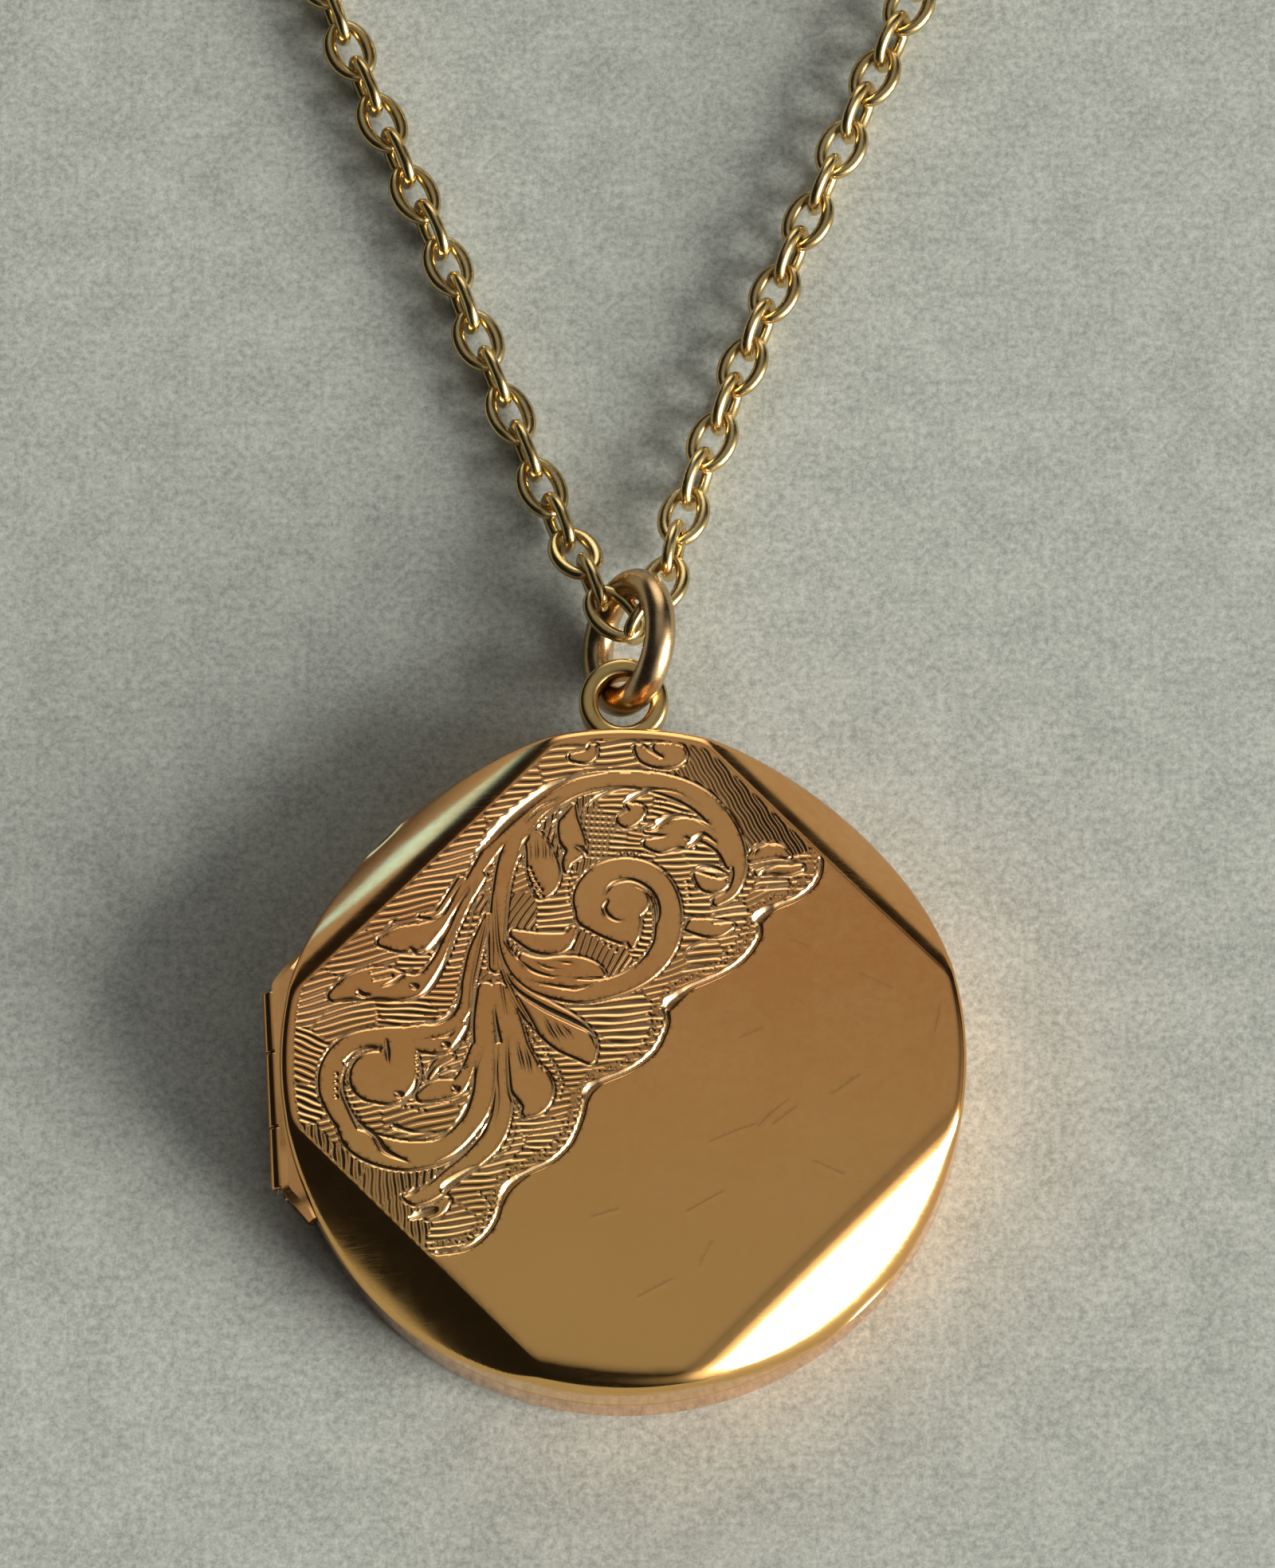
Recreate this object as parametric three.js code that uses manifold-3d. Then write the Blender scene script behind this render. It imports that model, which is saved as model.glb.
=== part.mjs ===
// A round hinged locket lying on its back, with a loop, a bail ring and a fine chain.
// Millimetres. +Z comes out of the front, +Y points at the hanging loop, +X at the opening side.
// The origin is the centre of the flat back.
import * as THREE from "three";
import { mergeVertices } from "three/addons/utils/BufferGeometryUtils.js";
import Module from "manifold-3d";

const wasm = await Module();
wasm.setup();

// The case: two pans of sheet metal that meet at the seam
const CASE_RADIUS = 13.5;
const CASE_DEPTH = 5.2;
const SEAM = CASE_DEPTH / 2;
const SEAM_GAP = 0.07;
const SHEET = 0.38;
const SHOULDER = 0.55;
const DOME = 0.12;
const FIT = 0.05;
const ROUND = 48;

// The four bevels on the front: the direction of each, and its upper edge's distance from the centre
const BEVELS = [
  { angle: 45, edge: 11.36 },
  { angle: 135, edge: 11.05 },
  { angle: 225, edge: 11.15 },
  { angle: 315, edge: 11.2 },
];
const BEVEL_SLOPE = 45;

// What each half holds: a liner, a bezel, a blank card, a crystal and the ring that keeps them in
const LINER = 0.2;
const LINER_INSET = SHEET + FIT;
const BEZEL_RADIUS = 12.6;
const WELL_RADIUS = 10.9;
const WELL_INSET = LINER_INSET + LINER;
const LIP = { inner: 11.5, outer: 11.85, height: 0.35 };
const DISC_RADIUS = WELL_RADIUS - 0.12;
const CARD = 0.2;
const CRYSTAL = { edge: 0.25, crown: 0.5 };
const KEEPER = { width: 0.85, height: 0.55, slope: 0.35 };

// The hinge
const HINGE_TURN = 3.5;
const HINGE_REACH = 13.72;
const BARREL = 0.42;
const BARREL_CLEARANCE = 0.05;
const PIN = 0.17;
const PIN_HOLE = 0.21;
const MIDDLE_KNUCKLE = 3.0;
const OUTER_KNUCKLE = 2.46;
const KNUCKLE_GAP = 0.05;
const BARREL_END = MIDDLE_KNUCKLE / 2 + KNUCKLE_GAP + OUTER_KNUCKLE;
const BEARER = { height: 1.0, spread: 23.3, tip: 0.32 };

// The hanging loop and the bail ring
const LOOP = { y: 15.2, outer: 1.8, hole: 1.05, height: 1.2, corner: 0.28 };
const BAIL = { x: 0.2, y: 17.75, z: 2.7, radius: 2.4, wire: 0.6, lean: 58 };

// The chain, whose far part is wound in one coil. Each run is a route of [x, y, z] points.
const CHAIN = 2.1;
const WAIST = 0.9;
const LIE = 1.08;
const COIL = { y: 65, inner: 8.4, outer: 15.2, height: 4.3, chamfer: 0.5 };
const LEFT_RUN = [
  [-1.7, 21.35, 2.05],
  [-2.45, 22.8, 1.45],
  [-3.05, 24.2, 1.15],
  [-3.65, 25.6, LIE],
  [-4.9, 28.7, LIE],
  [-6.2, 31.85, LIE],
  [-7.45, 35.05, LIE],
  [-8.85, 38.2, LIE],
  [-10.2, 41.3, LIE],
  [-11.55, 44.5, LIE],
  [-12.85, 47.8, LIE],
  [-14.0, 51.2, LIE],
  [-14.75, 54.5, LIE],
  [-14.95, 57.6, LIE],
];
const WAIST_RUN = [
  [-1.5, 20.95, 2.25],
  [-1.0, 19.75, 2.72],
  [-0.35, 18.85, 2.82],
  [0.25, 18.4, 2.78],
  [0.85, 18.75, 2.6],
  [1.4, 19.8, 2.3],
  [1.75, 21.0, 2.0],
];
const RIGHT_RUN = [
  [1.9, 21.4, 1.85],
  [2.2, 22.8, 1.4],
  [2.65, 24.4, 1.12],
  [3.85, 27.6, LIE],
  [5.05, 30.7, LIE],
  [6.4, 33.9, LIE],
  [7.8, 37.1, LIE],
  [9.2, 40.25, LIE],
  [10.55, 43.3, LIE],
  [11.9, 46.2, LIE],
  [13.25, 49.4, LIE],
  [14.4, 53.0, LIE],
  [15.05, 57.3, 1.35],
];

// The clasp, a bolt ring in the middle of the coil. Its runs and rings are placed from the coil's centre.
const CLASP = { y: 3.4, z: 0.83, radius: 2.15, wire: 0.52, bore: 0.37, bore_end: 165, tilt: 7 };
const MOUTH = { from: 28, to: 66 };
const BOLT = { wire: 0.31, tip: 24, tail: 112 };
const TRIGGER = { angle: 74, radius: 0.2, reach: 0.55, slot: 0.5, travel: 40 };
const EYE = { radius: 0.6, wire: 0.2, x: -3.5, y: 3.4, z: 0.83 };
const JUMP_RING = { radius: 0.95, wire: 0.2, x: -4.5, y: 3.4, z: 0.83, lean: 4 };
const TAG_RING = { radius: 1.12, wire: 0.21, x: 2.35, y: 3.4, z: 1.36, lean: 86 };
const CLASP_LEFT_RUN = [
  [-7.15, -0.9, LIE],
  [-7.05, 0.7, LIE],
  [-6.7, 2.0, LIE],
  [-6.05, 2.95, LIE],
];
const CLASP_RIGHT_RUN = [
  [3.85, 3.4, 1.2],
  [5.2, 3.15, LIE],
  [6.35, 2.2, 1.15],
  [6.95, 0.8, 1.35],
  [7.15, -0.9, 1.65],
];

const RAD = Math.PI / 180;

const GOLD = { color: 0xc08a4c, metalness: 1, roughness: 0.28 };
const YELLOW_GOLD = { color: 0xb98f42, metalness: 1, roughness: 0.3 };
const GILT = { color: 0xc9a25e, metalness: 1, roughness: 0.36 };
const CELLULOID = { color: 0xf3ead2, roughness: 0.12, transparent: true, opacity: 0.35 };
const CARDBOARD = { color: 0xe6dcc6, roughness: 0.9 };

const locket = new THREE.Group();

// ---- helpers --------------------------------------------------------------

function solidFrom(geometry) {
  const bare = new THREE.BufferGeometry();
  const loose = geometry.index ? geometry.toNonIndexed() : geometry;
  bare.setAttribute("position", loose.getAttribute("position"));
  const merged = mergeVertices(bare, 1e-4);
  const corners = merged.index.array;
  const kept = [];
  for (let i = 0; i < corners.length; i += 3) {
    const [a, b, c] = [corners[i], corners[i + 1], corners[i + 2]];
    if (a !== b && b !== c && c !== a) kept.push(a, b, c);
  }
  return new wasm.Manifold(
    new wasm.Mesh({
      numProp: 3,
      vertProperties: merged.getAttribute("position").array,
      triVerts: new Uint32Array(kept),
    }),
  );
}

function geometryFrom(solid) {
  const mesh = solid.getMesh();
  const geometry = new THREE.BufferGeometry();
  geometry.setAttribute("position", new THREE.BufferAttribute(mesh.vertProperties, 3));
  geometry.setIndex(new THREE.BufferAttribute(mesh.triVerts, 1));
  geometry.computeVertexNormals();
  return geometry;
}

function addPiece(name, geometry, look, parent = locket) {
  const piece = new THREE.Mesh(geometry, new THREE.MeshStandardMaterial(look));
  piece.name = name;
  parent.add(piece);
  return piece;
}

// A profile of [radius, height] pairs turned about Z.
function turned(profile, segments = ROUND) {
  const points = profile.map(([r, z]) => new THREE.Vector2(r, z));
  return new THREE.LatheGeometry(points, segments).rotateX(Math.PI / 2);
}

function arc(centreR, centreZ, radius, from, to, steps) {
  const points = [];
  for (let i = 0; i <= steps; i++) {
    const a = (from + ((to - from) * i) / steps) * RAD;
    points.push([centreR + radius * Math.cos(a), centreZ + radius * Math.sin(a)]);
  }
  return points;
}

function bar(radius, from, to, sides = 20) {
  const rod = new THREE.CylinderGeometry(radius, radius, to - from, sides);
  return rod.translate(0, (from + to) / 2, 0);
}

function tube(route, diameter, steps) {
  const path = new THREE.CatmullRomCurve3(route.map((p) => new THREE.Vector3(...p)));
  const section = new THREE.Shape();
  const sides = 8;
  for (let i = 0; i < sides; i++) {
    const a = (2 * Math.PI * (i + 0.5)) / sides;
    const x = (diameter / 2) * Math.cos(a);
    const y = (diameter / 2) * Math.sin(a);
    if (i === 0) section.moveTo(x, y);
    else section.lineTo(x, y);
  }
  section.closePath();
  return new THREE.ExtrudeGeometry(section, { steps, extrudePath: path, curveSegments: 1 });
}

// A stretch of round wire bent about Z, from one angle to another in degrees.
function bentWire(radius, wire, from, to, steps) {
  const points = [];
  for (let i = 0; i <= steps; i++) {
    const a = (from + ((to - from) * i) / steps) * RAD;
    points.push(new THREE.Vector3(radius * Math.cos(a), radius * Math.sin(a), 0));
  }
  const path = new THREE.CatmullRomCurve3(points);
  const section = new THREE.Shape();
  section.absarc(0, 0, wire, 0, 2 * Math.PI, false);
  return new THREE.ExtrudeGeometry(section, { steps, extrudePath: path, curveSegments: 5 });
}

// ---- the case -------------------------------------------------------------

const hinge = new THREE.Group();
hinge.rotation.z = HINGE_TURN * RAD;
locket.add(hinge);
hinge.updateMatrix();

// Everything outside one bevel's plane, itself set in from the outer face by `inset`.
function beyondBevel({ angle, edge }, inset) {
  const size = 40;
  const slope = BEVEL_SLOPE * RAD;
  const block = new THREE.BoxGeometry(size, size, size).translate(size / 2, 0, 0);
  block.rotateY(slope - Math.PI / 2);
  block.translate(-inset * Math.sin(slope), 0, -inset * Math.cos(slope));
  block.translate(edge, 0, CASE_DEPTH - DOME);
  return solidFrom(block.rotateZ(angle * RAD));
}

function bevelled(solid, inset) {
  return BEVELS.reduce((left, bevel) => left.subtract(beyondBevel(bevel, inset)), solid);
}

// The filled outline of a half, set in from its outer face by `inset` and ended at a height.
function backBlock(inset, top) {
  const corner = Math.max(SHOULDER - inset, LINER / 2);
  const steps = inset ? 1 : 4;
  return solidFrom(
    turned([
      [0, inset],
      ...arc(CASE_RADIUS - inset - corner, inset + corner, corner, -90, 0, steps),
      [CASE_RADIUS - inset, top],
      [0, top],
    ]),
  );
}

function frontBlock(inset, bottom) {
  const corner = Math.max(SHOULDER - inset, LINER / 2);
  const crown = CASE_DEPTH - inset;
  const edge = CASE_RADIUS - inset - corner;
  const steps = inset ? 1 : 4;
  return solidFrom(
    turned([
      [0, bottom],
      [CASE_RADIUS - inset, bottom],
      ...arc(edge, crown - DOME - corner, corner, 0, 90, steps),
      [edge * 0.7, crown - DOME * 0.49],
      [edge * 0.35, crown - DOME * 0.12],
      [0, crown],
    ]),
  );
}

function pan(block, inset, thickness, rim, overshoot) {
  return block(inset, rim).subtract(block(inset + thickness, rim + overshoot));
}

const frontShape = (inset, bottom) => bevelled(frontBlock(inset, bottom), inset);
const lowRim = SEAM - SEAM_GAP / 2;
const highRim = SEAM + SEAM_GAP / 2;

const barrelRoom = bar(BARREL + BARREL_CLEARANCE, -BARREL_END - 0.1, BARREL_END + 0.1);
barrelRoom.translate(-HINGE_REACH, 0, SEAM).applyMatrix4(hinge.matrix);
const groove = solidFrom(barrelRoom);

const backCover = pan(backBlock, 0, SHEET, lowRim, 1).subtract(groove);
const frontCover = pan(frontShape, 0, SHEET, highRim, -1).subtract(groove);
addPiece("back_cover", geometryFrom(backCover), GOLD);
addPiece("front_cover", geometryFrom(frontCover), GOLD);

// ---- inside the case ------------------------------------------------------

addPiece("back_liner", geometryFrom(pan(backBlock, LINER_INSET, LINER, lowRim - 0.02, 1)), GILT);
addPiece("front_liner", geometryFrom(pan(frontShape, LINER_INSET, LINER, highRim + 0.02, -1)), GILT);

function backBezel() {
  const top = lowRim - 0.03;
  const lip = SEAM + LIP.height;
  return turned([
    [WELL_RADIUS, WELL_INSET + 0.02],
    [BEZEL_RADIUS, WELL_INSET + 0.02],
    [BEZEL_RADIUS, top],
    [LIP.outer, top],
    [LIP.outer, lip],
    [LIP.inner, lip],
    [LIP.inner, top],
    [WELL_RADIUS, top],
    [WELL_RADIUS, WELL_INSET + 0.02],
  ]);
}

function frontBezel() {
  const bottom = highRim + 0.03;
  const recess = SEAM + LIP.height + FIT;
  const top = CASE_DEPTH - DOME - WELL_INSET - FIT;
  const ring = solidFrom(
    turned([
      [LIP.outer + FIT, bottom],
      [BEZEL_RADIUS, bottom],
      [BEZEL_RADIUS, top],
      [WELL_RADIUS, top],
      [WELL_RADIUS, recess],
      [LIP.outer + FIT, recess],
      [LIP.outer + FIT, bottom],
    ]),
  );
  return geometryFrom(bevelled(ring, WELL_INSET + FIT));
}

addPiece("back_bezel", backBezel(), GILT);
addPiece("front_bezel", frontBezel(), GILT);

// Card, crystal and keeper ring for one half, stacked from its well's floor towards the seam.
function fillWell(side, floor, towardsSeam) {
  const stack = (profile) => {
    const placed = profile.map(([r, h]) => [r, floor + towardsSeam * h]);
    return turned(towardsSeam > 0 ? placed : placed.reverse());
  };
  const card = FIT;
  const crystal = card + CARD + FIT;
  const keeper = crystal + CRYSTAL.edge + FIT;
  const bore = WELL_RADIUS - FIT - KEEPER.width;
  addPiece(
    side + "_card",
    stack([[0, card], [DISC_RADIUS, card], [DISC_RADIUS, card + CARD], [0, card + CARD]]),
    CARDBOARD,
  );
  addPiece(
    side + "_crystal",
    stack([
      [0, crystal],
      [DISC_RADIUS, crystal],
      [DISC_RADIUS, crystal + CRYSTAL.edge],
      [bore - 0.1, crystal + CRYSTAL.edge],
      [bore * 0.55, crystal + CRYSTAL.crown * 0.9],
      [0, crystal + CRYSTAL.crown],
    ]),
    CELLULOID,
  );
  addPiece(
    side + "_keeper_ring",
    stack([
      [bore, keeper],
      [WELL_RADIUS - FIT, keeper],
      [WELL_RADIUS - FIT, keeper + KEEPER.height],
      [bore + KEEPER.slope, keeper + KEEPER.height],
      [bore, keeper],
    ]),
    GILT,
  );
}

fillWell("back", WELL_INSET, 1);
fillWell("front", CASE_DEPTH - DOME - WELL_INSET, -1);

// ---- the hinge ------------------------------------------------------------

function knuckle(from, to) {
  return solidFrom(bar(BARREL, from, to)).subtract(solidFrom(bar(PIN_HOLE, from - 1, to + 1, 16)));
}

function addOnAxis(name, geometry, look) {
  addPiece(name, geometry, look, hinge).position.set(-HINGE_REACH, 0, SEAM);
}

const middle = MIDDLE_KNUCKLE / 2;
addOnAxis("hinge_knuckle_middle", geometryFrom(knuckle(-middle, middle)), GOLD);
addOnAxis("hinge_knuckle_upper", geometryFrom(knuckle(middle + KNUCKLE_GAP, BARREL_END)), GOLD);
addOnAxis("hinge_knuckle_lower", geometryFrom(knuckle(-BARREL_END, -middle - KNUCKLE_GAP)), GOLD);
addOnAxis("hinge_pin", bar(PIN, -BARREL_END - 0.15, BARREL_END + 0.15, 16), GILT);

// A curved strip along one half's wall, flat where it carries the barrel and narrower at its tips.
function bearer(bottom) {
  const wall = CASE_RADIUS + 0.03;
  const face = HINGE_REACH - 0.03;
  const tip = wall + BEARER.tip;
  const spread = BEARER.spread * RAD;
  const outline = new THREE.Shape();
  outline.absarc(0, 0, wall, Math.PI - spread, Math.PI + spread, false);
  outline.lineTo(-tip * Math.cos(spread), -tip * Math.sin(spread));
  outline.lineTo(-face, -BARREL_END);
  outline.lineTo(-face, BARREL_END);
  outline.lineTo(-tip * Math.cos(spread), tip * Math.sin(spread));
  outline.closePath();
  const options = { depth: BEARER.height, bevelEnabled: false, curveSegments: 16 };
  const strip = new THREE.ExtrudeGeometry(outline, options).translate(0, 0, bottom);
  const room = bar(BARREL + 0.04, -BARREL_END - 0.3, BARREL_END + 0.3);
  return solidFrom(strip).subtract(solidFrom(room.translate(-HINGE_REACH, 0, SEAM)));
}

const lowBearer = bearer(lowRim - 0.02 - BEARER.height);
addPiece("hinge_bearer_back", geometryFrom(lowBearer), GOLD, hinge);
addPiece("hinge_bearer_front", geometryFrom(bearer(highRim + 0.02)), GOLD, hinge);

// ---- the loop and the bail ------------------------------------------------

function hangingLoop() {
  const { outer, hole, corner, y } = LOOP;
  const half = LOOP.height / 2;
  const profile = [
    ...arc(outer - corner, -half + corner, corner, -90, 0, 2),
    ...arc(outer - corner, half - corner, corner, 0, 90, 2),
    ...arc(hole + corner, half - corner, corner, 90, 180, 2),
    ...arc(hole + corner, -half + corner, corner, 180, 270, 2),
    [outer - corner, -half],
  ];
  const ring = solidFrom(turned(profile, 28).translate(0, y, SEAM));
  const wall = CASE_RADIUS + 0.03;
  return ring.subtract(solidFrom(turned([[0, 0], [wall, 0], [wall, CASE_DEPTH], [0, CASE_DEPTH]])));
}

addPiece("hanging_loop", geometryFrom(hangingLoop()), GOLD);

const bail = new THREE.TorusGeometry(BAIL.radius, BAIL.wire, 12, 32);
const bailRing = addPiece("bail_ring", bail, GOLD);
bailRing.position.set(BAIL.x, BAIL.y, BAIL.z);
bailRing.rotation.y = -BAIL.lean * RAD;

// ---- the chain ------------------------------------------------------------

addPiece("chain_left_run", tube(LEFT_RUN, CHAIN, 16), YELLOW_GOLD);
addPiece("chain_waist", tube(WAIST_RUN, WAIST, 10), YELLOW_GOLD);
addPiece("chain_right_run", tube(RIGHT_RUN, CHAIN, 16), YELLOW_GOLD);

const far = new THREE.Group();
far.position.y = COIL.y;
locket.add(far);

function chainCoil() {
  const { inner, outer, height, chamfer } = COIL;
  return turned(
    [
      [inner, chamfer],
      [inner + chamfer, 0.02],
      [outer - chamfer, 0.02],
      [outer, chamfer],
      [outer, height - chamfer],
      [outer - chamfer, height],
      [inner + chamfer, height],
      [inner, height - chamfer],
      [inner, chamfer],
    ],
    40,
  );
}

addPiece("chain_coil", chainCoil(), YELLOW_GOLD, far);
addPiece("chain_clasp_left_run", tube(CLASP_LEFT_RUN, CHAIN, 4), YELLOW_GOLD, far);
addPiece("chain_clasp_right_run", tube(CLASP_RIGHT_RUN, CHAIN, 5), YELLOW_GOLD, far);

// ---- the clasp ------------------------------------------------------------

const clasp = new THREE.Group();
clasp.position.set(0, CLASP.y, CLASP.z);
clasp.rotation.y = -CLASP.tilt * RAD;
far.add(clasp);

function triggerSlot() {
  const { radius, wire } = CLASP;
  const from = (MOUTH.to - 8) * RAD;
  const to = (TRIGGER.angle + TRIGGER.travel + 8) * RAD;
  const track = new THREE.Shape();
  track.absarc(0, 0, radius + 2 * wire, from, to, false);
  track.absarc(0, 0, radius, to, from, true);
  track.closePath();
  const options = { depth: TRIGGER.slot, bevelEnabled: false, curveSegments: 8 };
  return new THREE.ExtrudeGeometry(track, options).translate(0, 0, -TRIGGER.slot / 2);
}

function claspBody() {
  const { radius, wire, bore } = CLASP;
  const shell = solidFrom(bentWire(radius, wire, MOUTH.to, 360 + MOUTH.from, 24));
  const sleeve = bentWire(radius, bore, MOUTH.to - 8, CLASP.bore_end, 12);
  const socket = bentWire(radius, bore, MOUTH.from - 8, MOUTH.from + 8, 2);
  const hollows = [sleeve, socket, triggerSlot()];
  return hollows.reduce((left, hollow) => left.subtract(solidFrom(hollow)), shell);
}

function claspBolt() {
  const { radius, wire } = CLASP;
  const stem = bar(TRIGGER.radius, 0, wire + TRIGGER.reach, 10);
  stem.translate(0, radius, 0).rotateZ((TRIGGER.angle - 90) * RAD);
  return solidFrom(bentWire(radius, BOLT.wire, BOLT.tip, BOLT.tail, 12)).add(solidFrom(stem));
}

addPiece("clasp_body", geometryFrom(claspBody()), YELLOW_GOLD, clasp);
addPiece("clasp_bolt", geometryFrom(claspBolt()), YELLOW_GOLD, clasp);

// A small ring, leaned about X from lying flat.
function addSmallRing(name, { radius, wire, x, y, z, lean }) {
  const ring = addPiece(name, new THREE.TorusGeometry(radius, wire, 8, 16), YELLOW_GOLD, far);
  ring.position.set(x, y, z);
  ring.rotation.x = lean * RAD;
}

addSmallRing("clasp_eye", { ...EYE, lean: 90 });
addSmallRing("clasp_jump_ring", JUMP_RING);
addSmallRing("clasp_tag_ring", TAG_RING);

export default locket;
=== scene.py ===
"""A round gold locket with an engraved front, its bail ring and its fine chain, in studio light.
Lengths below are in millimetres; M turns them into metres where a mesh is made."""

import math

import bpy
import numpy as np
from mathutils import Matrix, Vector
from mathutils.geometry import delaunay_2d_cdt


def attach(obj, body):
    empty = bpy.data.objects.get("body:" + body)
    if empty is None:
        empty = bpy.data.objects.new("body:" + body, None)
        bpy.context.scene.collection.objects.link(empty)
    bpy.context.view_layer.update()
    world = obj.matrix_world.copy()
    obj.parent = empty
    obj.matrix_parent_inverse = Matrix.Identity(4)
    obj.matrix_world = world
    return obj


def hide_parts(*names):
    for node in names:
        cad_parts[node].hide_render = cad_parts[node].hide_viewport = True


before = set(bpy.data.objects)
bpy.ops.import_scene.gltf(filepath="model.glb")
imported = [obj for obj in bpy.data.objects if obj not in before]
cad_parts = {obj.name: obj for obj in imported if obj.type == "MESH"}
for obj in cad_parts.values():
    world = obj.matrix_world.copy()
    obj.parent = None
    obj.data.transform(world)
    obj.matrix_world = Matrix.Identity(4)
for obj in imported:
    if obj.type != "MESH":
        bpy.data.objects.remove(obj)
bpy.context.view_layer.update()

M = 0.001

# ---- sizes, as in the CAD model --------------------------------------------------------------------

CASE_RADIUS = 13.5
CASE_DEPTH = 5.2
SEAM = 2.6
SEAM_GAP = 0.07
SHEET = 0.38
SHOULDER = 0.55
DOME = 0.12
# Each bevel's direction in degrees and distance from the middle, the blend at its edge, and how its
# height falls past that edge: straight, and by the square.
BEVELS = ((45, 11.36), (135, 11.05), (225, 11.15), (315, 11.2))
BEVEL_BLEND = (0.06, 0.12, 0.12, 0.4)
BEVEL_SWELL = ((0.66, 0.15), (0.577, 0.184), (0.75, 0.105), (0.8, 0.09))
# The rim's edge is rounder near this angle, and over this spread.
BROAD_SHOULDER = (math.radians(-100), math.radians(24))
WELL_RADIUS = 10.9
WELL_INSET = 0.63
BEZEL_RADIUS = 12.6
LIP_IN, LIP_OUT, LIP_RISE = 11.5, 11.85, 0.35
HINGE_TURN = math.radians(3.5)
HINGE_REACH = 13.72
BARREL = 0.42
BARREL_END = 4.01
PIN_HOLE = 0.21
KNUCKLE_MIDDLE, KNUCKLE_SIDE = 1.5, 1.55
WING_SPREAD = math.radians(23.3)
WING_SPANS = {"back": (1.545, 2.545), "front": (2.655, 3.655)}
LOOP_Y = 15.2
LOOP_HOLE, LOOP_REACH, LOOP_HALF = 1.05, 1.8, 0.6
BAIL_CENTRE = (0.2, 17.75, 2.7)
BAIL_RADIUS, BAIL_WIRE = 2.4, 0.63
BAIL_LEAN = math.radians(58)
COIL_Y = 65
LINK_REACH = 1.21
LINK_SPREAD = 0.77
LINK_END = 0.44
LINK_SIDE = 0.6
LINK_DEEP = 0.5
LINK_PITCH = 1.73
CLASP_Y, CLASP_Z = COIL_Y + 3.4, 0.83
CLASP_RADIUS, CLASP_WIRE, BOLT_WIRE = 2.15, 0.52, 0.31
CLASP_TILT = math.radians(7)

# ---- small tools -----------------------------------------------------------------------------------


def add_mesh(name, points, faces, material, body, nodes):
    """One piece from points in millimetres. It rides on a body and stands for one CAD node or several."""
    mesh = bpy.data.meshes.new(name)
    mesh.from_pydata([tuple(p) for p in np.asarray(points) * M], [], [tuple(f) for f in faces])
    mesh.validate()
    mesh.update()
    mesh.polygons.foreach_set("use_smooth", [True] * len(mesh.polygons))
    mesh.materials.append(material)
    piece = bpy.data.objects.new(name, mesh)
    bpy.context.collection.objects.link(piece)
    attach(piece, body)
    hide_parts(*([nodes] if isinstance(nodes, str) else nodes))
    return piece


def crease(piece, degrees=35):
    """Sharp edges where faces meet at more than an angle, smooth everywhere else."""
    piece.data.set_sharp_from_angle(angle=math.radians(degrees))


def grid_faces(rows, columns, closed=False, flip=False):
    """Quads between rings of points; closed joins the last ring to the first."""
    faces = []
    for i in range(rows if closed else rows - 1):
        for j in range(columns):
            a = i * columns + j
            b = i * columns + (j + 1) % columns
            c = (i + 1) % rows * columns + (j + 1) % columns
            d = (i + 1) % rows * columns + j
            faces.append((a, d, c, b) if flip else (a, b, c, d))
    return faces


def capped(rows, columns):
    """Quads between rings of points, with both ends closed by fans about the two points that follow them."""
    faces = grid_faces(rows, columns)
    first, end = rows * columns, (rows - 1) * columns
    for j in range(columns):
        k = (j + 1) % columns
        faces += [(first, k, j), (first + 1, end + j, end + k)]
    return faces


def circle(count):
    """Angles of points evenly round a circle."""
    return np.linspace(0, 2 * np.pi, count, endpoint=False)


def lengths_along(line):
    """Distance from a line's start to each of its points."""
    return np.concatenate([[0], np.cumsum(np.linalg.norm(np.diff(line, axis=0), axis=1))])


def smooth_line(points, per_span=8):
    """A Catmull-Rom line through points, which may carry more columns than x and y."""
    p = np.asarray(points, float)
    p = np.vstack([2 * p[0] - p[1], p, 2 * p[-1] - p[-2]])
    out = []
    for i in range(1, len(p) - 2):
        a, b, c, d = p[i - 1 : i + 3]
        bend, twist = 2 * a - 5 * b + 4 * c - d, 3 * b - a - 3 * c + d
        for t in np.linspace(0, 1, per_span, endpoint=False):
            out.append(0.5 * (2 * b + (c - a) * t + bend * t**2 + twist * t**3))
    out.append(p[-2])
    return np.array(out)


def even_steps(line, step):
    """The same line with its points an even step apart."""
    along = lengths_along(line[:, :3])
    marks = np.linspace(0, along[-1], max(2, int(round(along[-1] / step)) + 1))
    return np.stack([np.interp(marks, along, column) for column in line.T], 1)


def rectangle(inner, outer, low, high):
    return [(inner, low), (outer, low), (outer, high), (inner, high)]


def round_corners(profile, radius, steps=3):
    """A closed profile of [r, z] points with each corner cut to a small round."""
    p = [np.array(q, float) for q in profile]
    out = []
    for i, here in enumerate(p):
        u, v = p[i - 1] - here, p[(i + 1) % len(p)] - here
        reach = min(radius, np.linalg.norm(u) * 0.45, np.linalg.norm(v) * 0.45)
        a = here + u / np.linalg.norm(u) * reach
        b = here + v / np.linalg.norm(v) * reach
        for t in np.linspace(0, 1, steps + 1):
            out.append((1 - t) ** 2 * a + 2 * t * (1 - t) * here + t**2 * b)
    return np.array(out)


def rings(profile, segments):
    """A ring of points about Z for each [r, z] of a profile."""
    a = circle(segments)
    return np.concatenate([np.stack([r * np.cos(a), r * np.sin(a), 0 * a + z], 1) for r, z in profile])


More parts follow.
